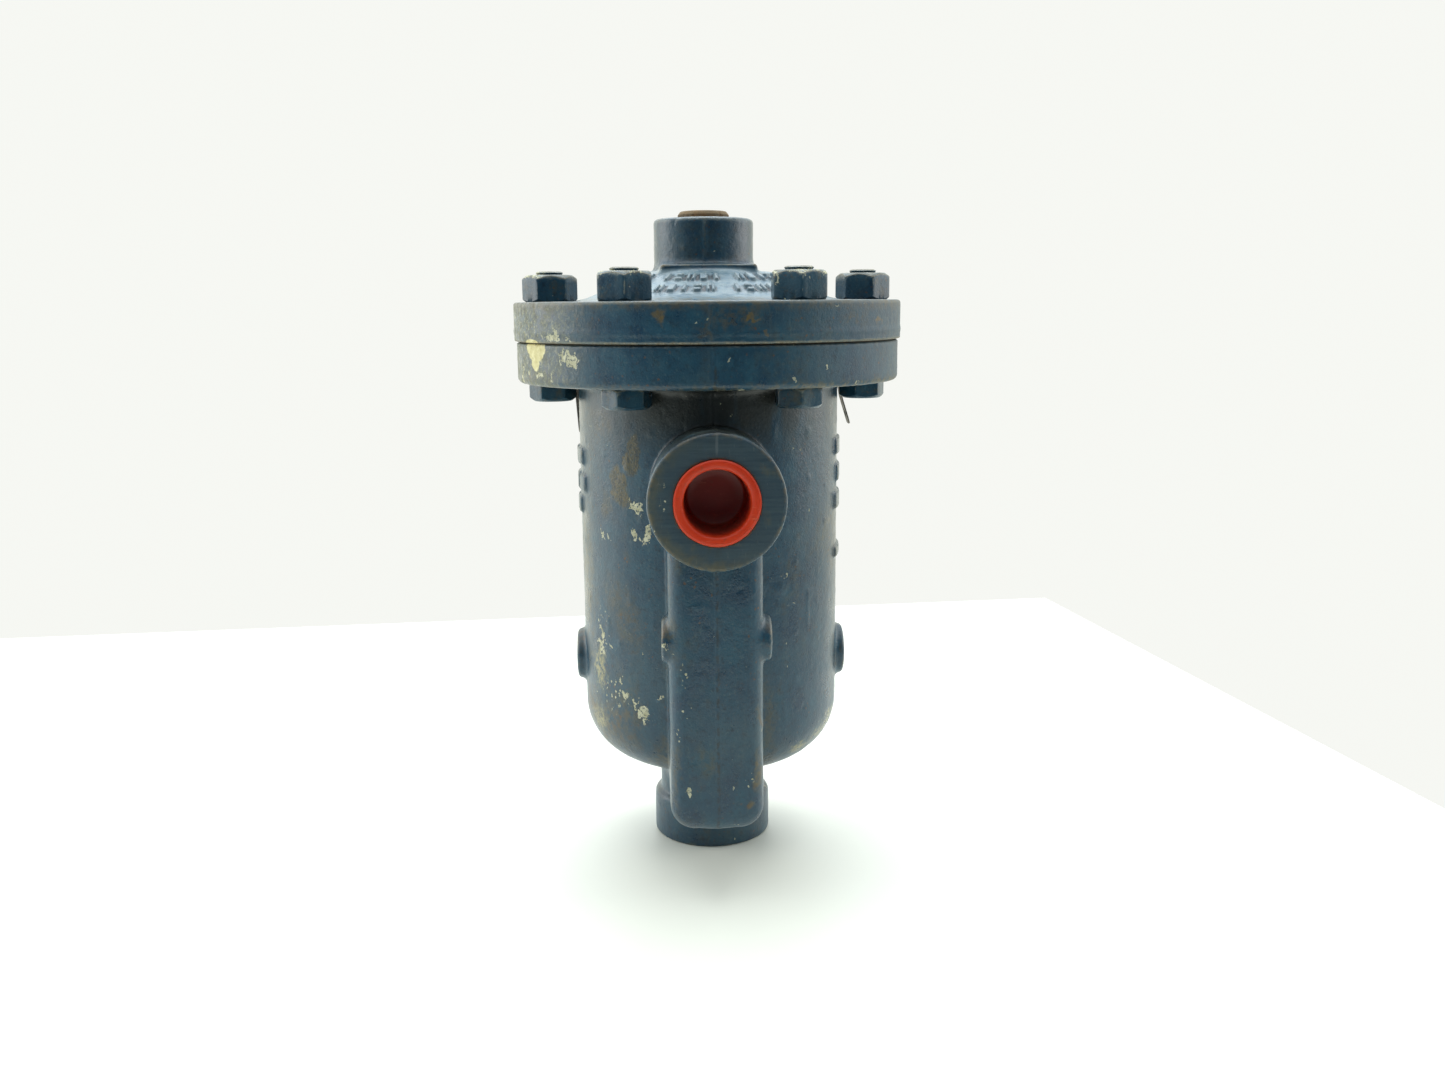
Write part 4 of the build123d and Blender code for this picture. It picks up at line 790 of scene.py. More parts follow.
        flaked = most(n, [blob(n, ragged, c, r) for c, r in (((45.5, -61, 269.0), (5.0, 9, 1.7)), ((37, -72, 269.8), (6.0, 9, 0.8)), ((26.4, -66, 267.0), (0.8, 9, 3.0)),
                                                             ((-44, -68, 269.8), (5.0, 9, 1.1)), ((-31, -71, 269.9), (3.5, 9, 0.6)), ((-80, -6, 269.8), (5, 12, 0.9)))])
        chips.append(n.math("MULTIPLY", flaked, torn))
        smear = n.math("MULTIPLY", n.step(n.noise(co, 7, 4, 0.6), 0.52, 0.62), n.step(small, 0.40, 0.60))
        colour = n.mix(n.math("MULTIPLY", smear, 0.35), colour, (0.085, 0.070, 0.035))
    chip = most(n, chips)
    colour = n.mix(n.math("MULTIPLY", chip, 0.95), colour, n.mix(n.span(small, 0.34, 0.6), (0.36, 0.34, 0.20), CREAM))
    if kind != "fastener":
        rind = n.step(n.math("SUBTRACT", n.noise(co, 2.4, 3, 0.6), 0.0), 0.36, 0.30)
        colour = n.mix(n.math("MULTIPLY", heart, 0.97), colour, n.mix(n.math("MULTIPLY", rind, 0.7), n.mix(n.span(small, 0.34, 0.62), (0.50, 0.43, 0.19), (0.70, 0.64, 0.36)), (0.22, 0.15, 0.06)))
        chip = n.math("MAXIMUM", chip, heart)
    lift = n.math("MULTIPLY_ADD", chip, -0.35, lift)
    rough = n.mixf(n.math("MAXIMUM", chip, bare), rough, 0.72)
    return n.out(colour, rough, 0.0, n.bump(lift, 0.75, 0.00038), **{"Specular IOR Level": 0.44 if kind == "fastener" else 0.52})


def iron(name, machined=False):
    n = Nodes(name)
    co = n.coord()
    mid, small, fine = n.noise(co, 9, 4, 0.6), n.noise(co, 2.4, 4, 0.6), n.noise(co, 0.7, 2, 0.5)
    if machined:
        colour = n.mix(n.span(mid, 0.35, 0.65), (0.30, 0.28, 0.25), (0.17, 0.145, 0.115))
        colour = n.mix(n.math("MULTIPLY", n.step(small, 0.56, 0.68), 0.6), colour, RUST)
        return n.out(colour, n.span(small, 0.3, 0.7, 0.32, 0.6), 0.75, n.bump(fine, 0.3, 0.0002))
    colour = n.mix(n.span(mid, 0.32, 0.66), (0.055, 0.043, 0.036), (0.115, 0.072, 0.044))
    colour = n.mix(n.math("MULTIPLY", n.step(small, 0.55, 0.68), 0.7), colour, (0.17, 0.085, 0.036))
    return n.out(colour, n.span(small, 0.3, 0.7, 0.7, 0.92), 0.15, n.bump(n.math("MULTIPLY_ADD", fine, 0.5, small), 0.7, 0.0004))


def steel(name, base, dark, rough, stretch=(1, 1, 1), stain=0.35, metal=1.0):
    n = Nodes(name)
    co = n.coord()
    grain = n.noise(n.coord(stretch=stretch), 1.1, 4, 0.65)
    mid, small = n.noise(co, 16, 3, 0.6), n.noise(co, 4, 4, 0.6)
    colour = n.mix(n.span(grain, 0.3, 0.7), dark, base)
    colour = n.mix(n.math("MULTIPLY", n.step(mid, 0.50, 0.70), stain), colour, (0.15, 0.115, 0.075))
    colour = n.mix(n.math("MULTIPLY", n.step(small, 0.62, 0.72), stain), colour, (0.09, 0.05, 0.028))
    r = n.mixf(n.step(mid, 0.45, 0.7), n.span(grain, 0.3, 0.7, rough - 0.08, rough + 0.1), rough + 0.22)
    return n.out(colour, r, metal, n.bump(grain, 0.25, 0.00012))


def rusty_plug(name):
    n = Nodes(name)
    co = n.coord()
    edge = n.attr("edge")
    mid, small, fine = n.noise(co, 7, 4, 0.6), n.noise(co, 2.1, 4, 0.65), n.noise(co, 0.6, 2, 0.6)
    colour = n.mix(n.span(small, 0.32, 0.66), (0.12, 0.085, 0.050), (0.17, 0.130, 0.085))
    colour = n.mix(n.math("MULTIPLY", n.step(mid, 0.46, 0.64), 0.8), colour, (0.20, 0.115, 0.055))
    colour = n.mix(n.math("MULTIPLY", n.step(n.cells(co, 2.2), 0.24, 0.1), 0.7), colour, DARK_RUST)
    # partly a painted highlight, partly lighter rust: the profile's marked edges, the top chamfer among them, are
    # coloured a lighter tan
    colour = n.mix(n.math("MULTIPLY", n.step(n.math("MULTIPLY_ADD", small, 0.3, edge), 0.45, 0.7), 0.55), colour, (0.24, 0.17, 0.095))
    return n.out(colour, n.span(mid, 0.3, 0.7, 0.8, 0.95), 0.0, n.bump(n.math("MULTIPLY_ADD", fine, 0.4, small), 0.8, 0.0004), **{"Specular IOR Level": 0.15})


def plastic(name):
    n = Nodes(name)
    co = n.coord()
    x, y, z = n.split(co)
    mid, small = n.noise(co, 12, 3, 0.6), n.noise(co, 2.4, 4, 0.65)
    scuff = n.noise(n.coord(stretch=(0.25, 1, 2.4), rotate=(0, 0.5, 0)), 2.6, 5, 0.7)
    colour = n.mix(n.span(mid, 0.3, 0.7), (0.50, 0.030, 0.007), (0.58, 0.042, 0.009))
    # painted shade: the inside of the cup darker the deeper it goes
    deep_shade = n.step(y, -98.6, -90)
    colour = n.mix(n.math("MULTIPLY", deep_shade, 0.85), colour, (0.17, 0.010, 0.006))
    # the lower part of the inside of the cup made lighter and browner
    lower_inside_lighter = n.math("MULTIPLY", n.step(n.math("MULTIPLY_ADD", small, 7.0, z), 176.5, 169.0), deep_shade)
    colour = n.mix(n.math("MULTIPLY", lower_inside_lighter, 0.4), colour, (0.20, 0.055, 0.026))
    colour = n.mix(n.math("MULTIPLY", n.step(small, 0.60, 0.70), 0.35), colour, (0.16, 0.045, 0.022))
    colour = n.mix(n.math("MULTIPLY", n.step(scuff, 0.62, 0.72), 0.35), colour, (0.80, 0.24, 0.13))
    rough = n.mixf(n.step(scuff, 0.55, 0.7), 0.33, 0.52)
    m = n.out(colour, rough, 0.0, n.bump(n.math("MULTIPLY_ADD", small, 0.2, n.math("MULTIPLY", mid, 0.8)), 0.25, 0.0004))
    n.bsdf.inputs["Subsurface Weight"].default_value = 0.12
    n.bsdf.inputs["Subsurface Radius"].default_value = (0.004, 0.0012, 0.0006)
    n.bsdf.inputs["Specular IOR Level"].default_value = 0.32
    return m


def fibre(name):
    n = Nodes(name)
    co = n.coord()
    strands = n.noise(n.coord(stretch=(1, 1, 6)), 1.1, 5, 0.8)
    colour = n.mix(n.span(strands, 0.3, 0.7), (0.028, 0.022, 0.014), (0.085, 0.062, 0.036))
    colour = n.mix(n.math("MULTIPLY", n.step(n.noise(co, 7, 3), 0.55, 0.7), 0.5), colour, (0.075, 0.05, 0.03))
    return n.out(colour, n.span(strands, 0.3, 0.7, 0.8, 0.95), 0.0, n.bump(strands, 0.6, 0.0003))


# ---------------------------------------------------------------- turned and hexagonal pieces
def rings_mesh(name, rings, mats, sharp=(), closed=False, ring_attr=None, extra=None, cap_ends=False):
    """rings: (n,3) point arrays of equal length, joined in order; mesh in millimetres."""
    pts = np.concatenate(rings)
    m = len(rings[0])
    faces = []
    idx = np.arange(m)
    nxt = (idx + 1) % m
    count = len(rings)
    for i in range(count if closed else count - 1):
        a, b = i * m, ((i + 1) % count) * m
        faces.append(np.stack([a + idx, a + nxt, b + nxt, b + idx], 1))
    faces = np.concatenate(faces)
    attrs = {"edge": np.repeat(np.array(ring_attr if ring_attr is not None else [0.0] * count), m), "hollow": np.zeros(count * m)}
    if extra is not None:
        attrs["edge"] = np.maximum(attrs["edge"], extra)
    return pts, faces, attrs


def merge(name, chunks, mats):
    """Join (points, faces, attrs) chunks in one mesh and make the normals face outward."""
    base, ps, fs, at = 0, [], [], {}
    for p, f, a in chunks:
        ps.append(p)
        fs.append(f + base)
        base += len(p)
        for k, v in a.items():
            at.setdefault(k, []).append(v)
    o = build_mesh(name, np.concatenate(ps), np.concatenate(fs), mats, None, {k: np.concatenate(v) for k, v in at.items()})
    import bmesh
    bm = bmesh.new()
    bm.from_mesh(o.data)
    bmesh.ops.remove_doubles(bm, verts=bm.verts, dist=2e-6)
    bmesh.ops.dissolve_degenerate(bm, edges=bm.edges, dist=1e-6)
    bmesh.ops.recalc_face_normals(bm, faces=bm.faces)
    bm.to_mesh(o.data)
    bm.free()
    o.data.polygons.foreach_set("use_smooth", np.ones(len(o.data.polygons), bool))
    return o


def keep_sharp(o, degrees):
    """Mark edges sharper than an angle, so that flats stay flat."""
    o.data.set_sharp_from_angle(angle=math.radians(degrees))


def hex_radius(theta, af, turn, p=46):
    a = af / 2
    tot = np.zeros_like(theta)
    for i in range(6):
        t = math.radians(turn - 90 + 60 * i)
        tot += np.maximum(np.cos(theta - t), 0) ** p
    return a * tot ** (-1.0 / p)


def circle(theta, r, z, cx, cy):
    r = np.broadcast_to(r, theta.shape)
    z = np.broadcast_to(z, theta.shape)
    return np.stack([cx + r * np.cos(theta), cy + r * np.sin(theta), z], 1)


def hex_body(cx, cy, af, turn, z0, z1, hole, low, high, rng, seg=120):
    """Hexagon with cone-chamfered ends. low and high are the radii where the flat end meets the chamfer; low may be
    None for a plain lower end.
    """
    th = np.linspace(0, 2 * math.pi, seg, endpoint=False) + math.radians(turn)
    R = hex_radius(th, af, turn)
    corner_r = af / 2 / math.cos(math.pi / 6)
    near = np.clip((R - af / 2) / (corner_r - af / 2), 0, 1)
    tan = math.tan(math.radians(36))
    R = R + 0.10 * np.sin(3 * th + rng.uniform(0, 6)) + 0.05 * np.sin(7 * th + rng.uniform(0, 6))
    rings, at = [], []
    def put(r, z, e):
        rings.append(circle(th, r, z, cx, cy))
        at.append(e * np.ones(seg) * 1.15)
    if hole:
        put(hole, z0 + 0.9, 0.0)
        put(hole + 0.6, z0, 0.0)
    if low:
        put(low, z0, 0.04)
        rise = np.maximum(R - low, 0) * tan
        put(np.maximum(R - 0.25, low + 0.02), z0 + np.maximum(R - 0.25 - low, 0.01) * tan, 0.10)
        put(R, z0 + rise + 0.2, 0.08)
    else:
        put(R - 0.3, z0, 0.15)
        put(R, z0 + 0.3, 0.15)
    drop = np.maximum(R - high, 0) * tan
    put(R, z0 + 0.35 * (z1 - z0), 0.34 * near ** 8)
    put(R, z0 + 0.70 * (z1 - z0), 0.34 * near ** 8)
    put(R, z1 - drop - 0.30, 0.14)
    put(R - 0.10, z1 - drop - 0.08, 0.40)
    put(np.maximum(R - 0.42, high + 0.04), z1 - np.maximum(R - 0.42 - high, 0.02) * tan, 0.11)
    put(high, z1, 0.24)
    if hole:
        put(hole + 0.9, z1, 0.10)
        put(hole + 0.25, z1 - 0.45, 0.10)
        put(hole, z1 - 0.9, 0.0)
    pts = np.concatenate(rings)
    m, count = seg, len(rings)
    idx = np.arange(m)
    nxt = (idx + 1) % m
    faces = []
    for i in range(count - 1 + (1 if hole else 0)):
        a, b = i * m, ((i + 1) % count) * m
        faces.append(np.stack([a + idx, a + nxt, b + nxt, b + idx], 1))
    if not hole:
        pts, faces = close_end(pts, faces, 0, m, cx, cy, z0)
        pts, faces = close_end(pts, faces, (count - 1) * m, m, cx, cy, z1)
    e = np.concatenate(at + ([np.zeros(2)] if not hole else []))
    return pts, np.concatenate(faces), {"edge": e, "hollow": np.zeros(len(pts))}


def close_end(pts, faces, start, m, cx, cy, z):
    """Fan to a centre point, written as quads over pairs of segments."""
    c = len(pts)
    pts = np.concatenate([pts, [[cx, cy, z]]])
    i = start + np.arange(0, m, 2)
    j = start + (np.arange(0, m, 2) + 1) % m
    k = start + (np.arange(0, m, 2) + 2) % m
    faces.append(np.stack([np.full(len(i), c), i, j, k], 1))
    return pts, faces


def lathe(profile, seg, cx=0.0, cy=0.0, edges=None, inner=None, solid_ends=True):
    """profile: (r, z[, edge]) from the bottom of the axis to the top; inner is not used."""
    th = np.linspace(0, 2 * math.pi, seg, endpoint=False)
    rings, at = [], []
    for row in profile:
        r, z = row[0], row[1]
        e = row[2] if len(row) > 2 else 0.0
        rr = r(th) if callable(r) else r
        rings.append(circle(th, rr, z, cx, cy))
        at.append(np.full(seg, e))
    pts = np.concatenate(rings)
    idx = np.arange(seg)
    nxt = (idx + 1) % seg
    faces = [np.stack([i * seg + idx, i * seg + nxt, (i + 1) * seg + nxt, (i + 1) * seg + idx], 1) for i in range(len(rings) - 1)]
    extra = 0
    if solid_ends:
        pts, faces = close_end(pts, faces, 0, seg, cx, cy, profile[0][1])
        pts, faces = close_end(pts, faces, (len(rings) - 1) * seg, seg, cx, cy, profile[-1][1])
        extra = 2
    return pts, np.concatenate(faces), {"edge": np.concatenate(at + [np.zeros(extra)]), "hollow": np.zeros(len(pts))}


def square_r(half, turn, p=24):
    """Radius of a square socket with slightly rounded corners."""
    def fn(th):
        tot = np.zeros_like(th)
        for i in range(4):
            tot += np.maximum(np.cos(th - math.radians(turn + 90 * i)), 0) ** p
        return half * tot ** (-1.0 / p)
    return fn


# ---------------------------------------------------------------- build
m_body, m_cover, m_fast = paint("paint_body", "body"), paint("paint_cover", "cover"), paint("paint_fasteners", "fastener")
m_raw, m_cut = iron("iron_raw"), iron("iron_machined", True)
m_plug, m_cap, m_gasket = rusty_plug("plug_rusty"), plastic("cap_plastic"), fibre("gasket_fibre")
m_tag = steel("tag_steel", (0.20, 0.185, 0.16), (0.075, 0.066, 0.056), 0.5, (1, 1, 0.3), 0.7, 0.8)
m_stainless = steel("stainless_brushed", (0.56, 0.545, 0.52), (0.34, 0.33, 0.315), 0.33, (1, 1, 0.12), 0.25)
m_valve = steel("valve_steel", (0.47, 0.46, 0.45), (0.30, 0.295, 0.29), 0.26, (0.3, 1, 1), 0.2)


def place(o, body, slot, *stands_for):
    if stands_for:
        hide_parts(*stands_for)
    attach(o, body)
    return o


step_b, step_c = ((0.85, 0.66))
body = finish_casting("body_shell", body_field(step_b), [m_body, m_raw], 11, body_calm)
cover = finish_casting("cover_shell", cover_field(step_c), [m_cover, m_raw], 41, cover_calm)
simplify(body, 196000)
simplify(cover, 180000)
place(body, "trap_body", "cast_paint", "body_casting")
place(cover, "trap_body", "cast_paint", "cover_casting")

# bolts: hex heads under the flange, threaded shanks up through the nuts
HEAD_TURN = {-90: 5.0, -30: 11.0, 30: 31.0, 90: 6.6, 150: 17.0, 210: -9.0}
NUT_TURN = {-90: 8.4, -30: 31.8, 30: -29.0, 90: -16.8, 150: 11.0, 210: 25.0}
rng = np.random.default_rng(5)
bolts, nuts = [], []
for a in BOLT_ANGLES:
    cx, cy = around(a)
    top = 221.8 - (0.6 if a in (-90, 90) else 0.0)
    bolts.append(hex_body(cx, cy, 19.05, HEAD_TURN[a], top - 8.6, top, None, 19.05 / 2 - 0.8, 19.05 / 2 + 0.2, rng))
    prof = [(5.0, top - 0.4), (6.3, top - 0.4)]
    z = top - 0.4
    prof += [(6.3, 262.0)]
    turns = int((271.0 - 262.0) / 0.65)
    for i in range(turns):
        prof += [(6.3 if i % 2 else 5.75, 262.3 + i * 0.65, 0.1 if i % 2 else 0.0)]
    prof += [(6.2, 271.05, 0.2), (5.6, 271.5, 0.45), (5.2, 271.6, 0.3), (2.5, 271.62)]
    bolts.append(lathe(prof, 64, cx, cy))
    nuts.append(hex_body(cx, cy, 22.2, NUT_TURN[a], 257.8, 270.0, 6.42, 22.2 / 2 - 0.1, 22.2 / 2 - 0.8, rng))
bolt_set = merge("bolts_detailed", bolts, [m_fast])
nut_set = merge("nuts_detailed", nuts, [m_fast])
for o in (bolt_set, nut_set):
    keep_sharp(o, 32)
place(bolt_set, "trap_body", "fastener_paint", "cover_bolts")
place(nut_set, "trap_body", "fastener_paint", "cover_nuts")

# test plug with a square socket, and the drain plug sunk in the foot
sq = square_r(5.6, 12)
cx = BOSS_X
prof = [(3.0, 278.6), (11.4, 278.6), (12.15, 279.4)]
z = 279.8
while z < 292.6:
    r = 12.19 + (z - 278.5) * 0.031
    prof += [(r - 0.10, z), (r - 0.85, z + 0.9)]
    z += 1.814
prof += [(12.55, 293.1), (11.75, 294.0), (11.75, 296.2, 0.1), (11.62, 296.55, 0.5), (10.6, 297.85, 0.5), (10.2, 298.0, 0.4), (9.0, 298.02),
         (lambda th: sq(th) + 0.7, 298.0, 0.3), (lambda th: sq(th) + 0.1, 297.6, 0.5), (sq, 296.8), (sq, 288.6), (lambda th: sq(th) * 0.96, 288.1), (2.0, 287.6)]
plug = merge("test_plug_turned", [lathe(prof, 128, cx, 0)], [m_plug])
keep_sharp(plug, 35)
place(plug, "top_plug", "plug_steel", "test_plug")

sq0 = square_r(5.6, 0)
prof = [(2.0, 11.6), (lambda th: sq0(th) * 0.96, 11.1), (sq0, 10.6), (sq0, 2.4), (lambda th: sq0(th) + 0.1, 1.8, 0.5), (lambda th: sq0(th) + 0.7, 1.42, 0.3), (9.0, 1.4),
        (11.0, 1.4, 0.2), (11.6, 1.55, 0.5), (12.4, 2.4, 0.4)]
z = 3.0
while z < 14.0:
    r = 12.60 - (z - 2.6) * 0.031
    prof += [(r, z), (r - 0.75, z + 0.9)]
    z += 1.814
prof += [(12.1, 15.2), (11.4, 16.0), (3.0, 16.0)]
drain = merge("drain_plug_turned", [lathe(prof, 128)], [m_plug])
keep_sharp(drain, 35)
place(drain, "trap_body", "plug_steel", "drain_plug")


def swing_to_port(o, sign):
    """A piece turned about +Z at the origin is laid along the port axis: its +Z runs outward from the port face."""
    me = o.data
    co = np.empty(len(me.vertices) * 3, np.float32)
    me.vertices.foreach_get("co", co)
    co = co.reshape(-1, 3)
    x, y, z = co[:, 0].copy(), co[:, 1].copy(), co[:, 2].copy()
    out = np.stack([x * (1 if sign < 0 else -1), sign * (PORT_Y * MM + z), PORT_Z * MM + y], 1)
    me.vertices.foreach_set("co", out.astype(np.float32).ravel())
    me.update()
    return o


# plastic cap plug pushed in the inlet: rolled rim, tapered cup, dimple in its floor, faint pull marks
prof = [(3.0, -22.8), (11.9, -22.8), (12.7, -22.3), (13.05, -20.5), (13.4, -12), (13.9, -3.2), (14.35, -0.9), (14.8, -0.08), (17.2, -0.06, 0.1), (17.62, 0.25), (17.7, 0.7),
        (17.55, 1.25), (17.15, 1.6), (16.5, 1.70), (15.4, 1.66), (14.5, 1.50), (13.9, 1.05), (13.62, 0.2), (13.5, -1.5), (13.2, -8), (12.95, -15), (12.7, -19.6), (12.2, -20.7), (11.2, -21.15),
        (7.5, -21.25), (3.2, -21.25), (1.2, -21.22)]
cap = merge("cap_plug_moulded", [lathe(prof, 144)], [m_cap])
co = np.empty(len(cap.data.vertices) * 3, np.float32)
cap.data.vertices.foreach_get("co", co)
co = co.reshape(-1, 3).astype(np.float64) * 1000
th = np.arctan2(co[:, 1], co[:, 0])
rr = np.hypot(co[:, 0], co[:, 1])
grow = np.clip((co[:, 2] + 2) / 3, 0, 1) * np.clip((rr - 13) / 3, 0, 1)
rr2 = rr + grow * (0.10 * np.sin(2 * th + 0.7) + 0.07 * np.sin(5 * th + 2.1))
co[:, 0], co[:, 1] = rr2 * np.cos(th), rr2 * np.sin(th)
co[:, 2] += grow * 0.06 * np.sin(3 * th + 1.0)
cap.data.vertices.foreach_set("co", (co * MM).astype(np.float32).ravel())
swing_to_port(cap, -1)
place(cap, "inlet_cap", "cap_plastic", "inlet_cap_plug")


def thread_sleeve(name, r_in, depth, pitch, crest, mat):
    """Internal taper thread as a closed tube wall with a helical profile."""
    seg, per = 120, 10
    n = int(depth / pitch * per)
    th = np.linspace(0, 2 * math.pi, seg, endpoint=False)
    rings = [circle(th, r_in + 1.3, 0.35, 0, 0), circle(th, r_in + 0.9, -0.25, 0, 0)]
    for i in range(n + 1):
        zz = -0.9 - i * pitch / per
        ph = ((zz / pitch) - th / (2 * math.pi)) % 1.0
        tooth = 1 - np.abs(2 * ph - 1)
        fade = min(1.0, i / (1.2 * per)) * min(1.0, (n - i) / (1.0 * per) + 0.25)
        r = r_in + 0.75 - crest * np.clip(tooth * 1.25 - 0.1, 0, 1) * fade - 0.031 * i * pitch / per
        rings.append(circle(th, r, zz, 0, 0))
    zl = -0.9 - n * pitch / per
    rings += [circle(th, r_in - 1.4, zl - 0.6, 0, 0), circle(th, r_in + 1.2, zl - 0.7, 0, 0)]
    pts, faces, at = rings_mesh(name, rings, None, closed=True)
    o = merge(name, [(pts, faces, at)], [mat])
    return swing_to_port(o, 1)


sleeve = thread_sleeve("outlet_thread", 15.95, 20.5, 2.209, 1.15, m_cut)
keep_sharp(sleeve, 40)
place(sleeve, "trap_body", "cast_paint")

# the other CAD nodes keep their shape and get their own finish
finish_of = {"cover_gasket": m_gasket, "inlet_tube": m_stainless, "bucket": m_stainless, "bucket_clip": m_stainless, "clip_rivets": m_valve,
             "valve_lever": m_stainless, "valve_ball": m_valve, "valve_retainer": m_valve, "valve_seat": m_valve, "fulcrum_plate": m_stainless,
             "guide_pins": m_valve, "guide_screws": m_valve, "id_tag_left": m_tag, "id_tag_right": m_tag}
for name, mat in finish_of.items():
    me = nodes[name].data
    for i in range(len(me.materials)):
        nodes[name].material_slots[i].link = "OBJECT"
        nodes[name].material_slots[i].material = mat
    if not len(me.materials):
        me.materials.append(mat)

# ---------------------------------------------------------------- floor, light, camera
fl = Nodes("floor_white")
fco = fl.coord()
scr = fl.noise(fl.coord(stretch=(1, 0.1, 1), rotate=(0, 0, 0.6)), 5, 5, 0.7)
fcol = fl.mix(fl.math("MULTIPLY", fl.step(scr, 0.66, 0.72), 0.10), (0.765, 0.76, 0.665), (0.66, 0.66, 0.62))
fl.out(fcol, fl.span(fl.noise(fco, 90, 3), 0.3, 0.7, 0.34, 0.5), 0.0, **{"Specular IOR Level": 0.35})
corner_pts = np.array([[-2400, 240, 0], [310.8, 474, 0], [458, -640, 0], [-2400, -640, 0]], float)
me = bpy.data.meshes.new("floor")
me.from_pydata([tuple(p * MM) for p in corner_pts], [], [list(range(len(corner_pts)))[::-1]])
floor = bpy.data.objects.new("floor", me)
floor.data.materials.append(fl.m)
bpy.context.scene.collection.objects.link(floor)

world = bpy.data.worlds.new("studio")
bpy.context.scene.world = world
world.use_nodes = True
wt = world.node_tree
for x in list(wt.nodes):
    wt.nodes.remove(x)


def wnode(kind, **kw):
    x = wt.nodes.new(kind)
    for k, v in kw.items():
        setattr(x, k, v)
    return x


tc = wnode("ShaderNodeTexCoord")
sep = wnode("ShaderNodeSeparateXYZ")
wt.links.new(tc.outputs["Generated"], sep.inputs[0])


def wmap(sock, lo, hi, a, b):
    x = wnode("ShaderNodeMapRange", interpolation_type="SMOOTHSTEP", clamp=True)
    wt.links.new(sock, x.inputs["Value"])
    for i, v in zip(("From Min", "From Max", "To Min", "To Max"), (lo, hi, a, b)):
        x.inputs[i].default_value = v
    return x.outputs["Result"]


FRONT_DIM, SIDE, BACK_GAIN, TOP_GAIN = 0.12, 1.15, 0.40, 0.30
fy = wmap(sep.outputs[1], -0.93, -0.04, FRONT_DIM, SIDE)
fb = wmap(sep.outputs[1], 0.15, 0.85, 0.0, BACK_GAIN)
fz = wmap(sep.outputs[2], 0.1, 0.95, 0.0, TOP_GAIN)
ad0 = wnode("ShaderNodeMath", operation="ADD")
wt.links.new(fy, ad0.inputs[0])
wt.links.new(fb, ad0.inputs[1])
ad1 = wnode("ShaderNodeMath", operation="ADD")
wt.links.new(ad0.outputs[0], ad1.inputs[0])
wt.links.new(fz, ad1.inputs[1])
even = wnode("ShaderNodeMath", operation="MULTIPLY")
wt.links.new(ad1.outputs[0], even.inputs[0])
wt.links.new(wmap(sep.outputs[0], -0.5, 0.5, 1.08, 0.88), even.inputs[1])
toward = wnode("ShaderNodeVectorMath", operation="DOT_PRODUCT")
wt.links.new(sep.inputs[0].links[0].from_socket, toward.inputs[0])
toward.inputs[1].default_value = (0.0, 0.50, 0.866)
ad = wnode("ShaderNodeMath", operation="ADD")
wt.links.new(even.outputs[0], ad.inputs[0])
wt.links.new(wmap(toward.outputs["Value"], 0.80, 0.97, 0.0, 1.7), ad.inputs[1])
bg = wnode("ShaderNodeBackground")
tint = wnode("ShaderNodeMix", data_type="RGBA")
wt.links.new(wmap(sep.outputs[2], 0.05, 0.7, 0.0, 1.0), tint.inputs[0])
flank = wnode("ShaderNodeMix", data_type="RGBA")
wt.links.new(wmap(sep.outputs[1], -0.55, -0.05, 0.0, 1.0), flank.inputs[0])
flank.inputs[6].default_value = (0.78, 1.0, 1.12, 1)
flank.inputs[7].default_value = (1.02, 1.02, 0.87, 1)
wt.links.new(flank.outputs[2], tint.inputs[6])
tint.inputs[7].default_value = (0.87, 0.96, 1.04, 1)
wt.links.new(tint.outputs[2], bg.inputs["Color"])
wt.links.new(ad.outputs[0], bg.inputs["Strength"])
seen = wnode("ShaderNodeBackground")
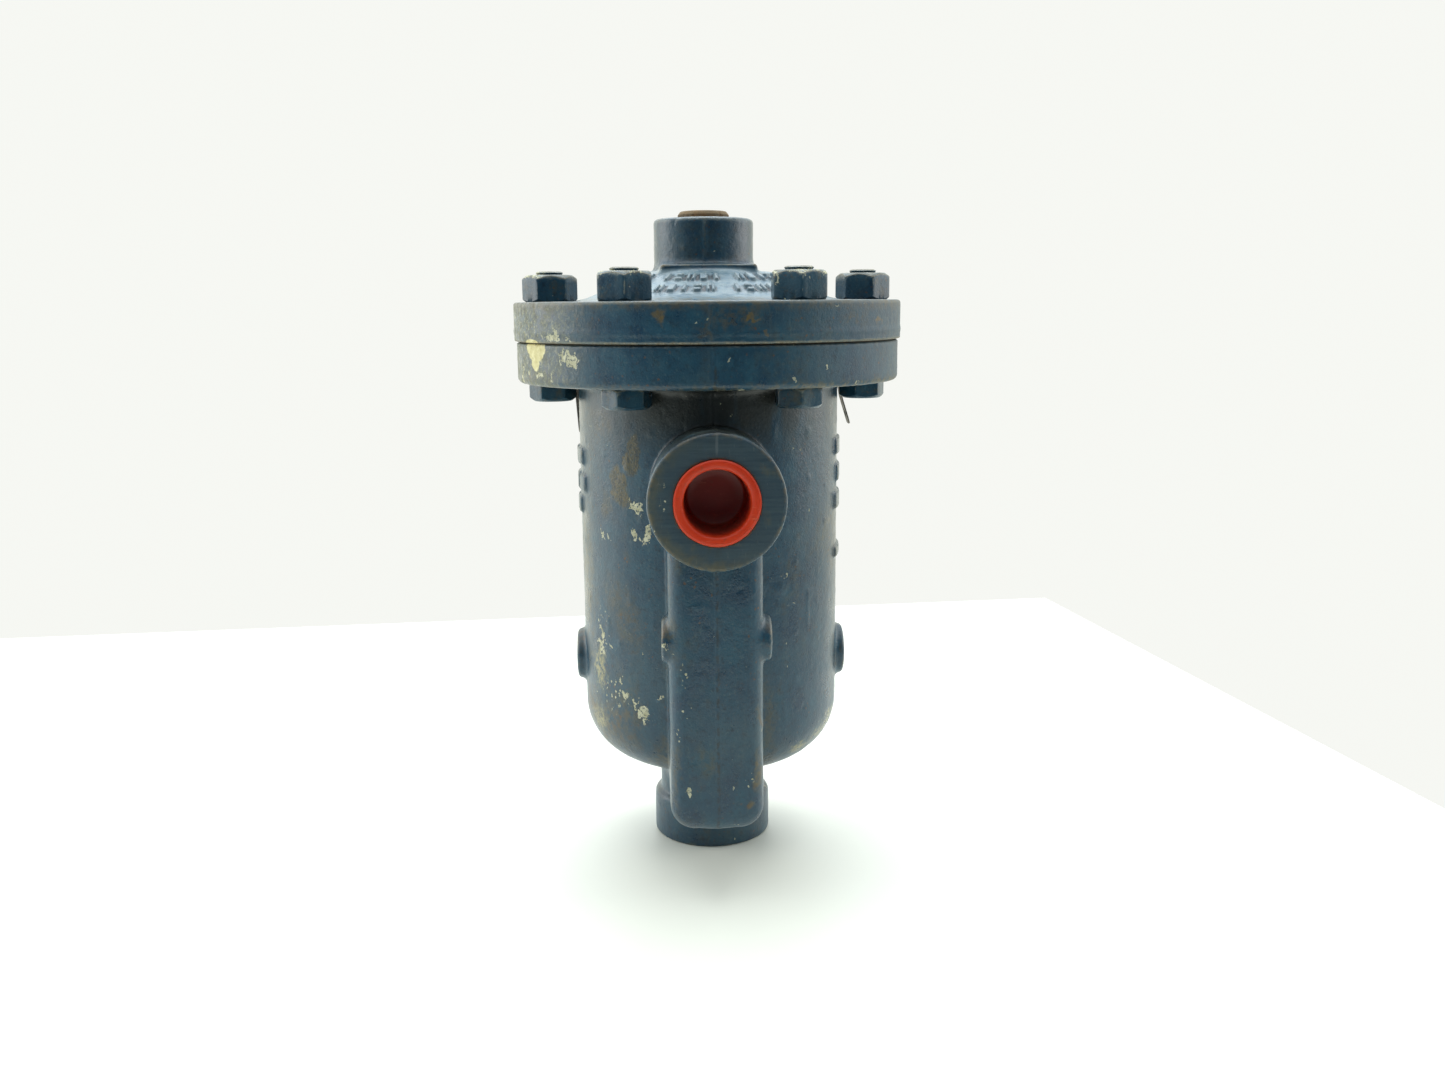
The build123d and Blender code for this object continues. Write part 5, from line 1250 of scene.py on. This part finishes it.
seen.inputs["Color"].default_value = (0.925, 0.935, 0.895, 1)
seen.inputs["Strength"].default_value = 1.0
lp = wnode("ShaderNodeLightPath")
mx = wnode("ShaderNodeMixShader")
wt.links.new(lp.outputs["Is Camera Ray"], mx.inputs[0])
wt.links.new(bg.outputs[0], mx.inputs[1])
wt.links.new(seen.outputs[0], mx.inputs[2])
ow = wnode("ShaderNodeOutputWorld")
wt.links.new(mx.outputs[0], ow.inputs["Surface"])


def softbox(name, where, at, w, h, watts, colour=(1, 1, 1)):
    L = bpy.data.lights.new(name, "AREA")
    L.shape = "RECTANGLE"
    L.size, L.size_y, L.energy, L.color = w, h, watts, colour
    o = bpy.data.objects.new(name, L)
    o.location = where
    o.rotation_mode = "QUATERNION"
    o.rotation_quaternion = (Vector(at) - Vector(where)).to_track_quat("-Z", "Y")
    o.visible_camera = False
    bpy.context.scene.collection.objects.link(o)
    return o


softbox("overhead", (0.0, 0.25, 1.5), (0, 0, 0.2), 1.5, 1.2, 12, (0.92, 0.98, 1.0))
softbox("left_panel", (-1.25, 0.25, 0.55), (0, 0, 0.15), 0.9, 1.0, 7)
softbox("right_panel", (1.25, 0.25, 0.55), (0, 0, 0.15), 0.9, 1.0, 6)

scene = bpy.context.scene
scene.view_settings.view_transform = "Standard"
scene.view_settings.look = "None"

focal = 1261.4
cam = bpy.data.cameras.new("camera")
cam.sensor_width = 36
cam.lens = focal * 36 / 1445
cam.clip_start, cam.clip_end = 0.01, 50
co = bpy.data.objects.new("camera", cam)
scene.collection.objects.link(co)
d, pitch, roll = math.radians(2.47), math.radians(10.611), math.radians(-0.47)
fw = Vector((math.sin(d) * math.cos(pitch), math.cos(d) * math.cos(pitch), -math.sin(pitch)))
right = fw.cross(Vector((0, 0, 1))).normalized()
upv = right.cross(fw)
basis = Matrix((right, upv, -fw)).transposed() @ Matrix.Rotation(roll, 3, "Z")
co.matrix_world = Matrix.Translation((-0.0195, -0.5963, 0.2556)) @ basis.to_4x4()
scene.camera = co
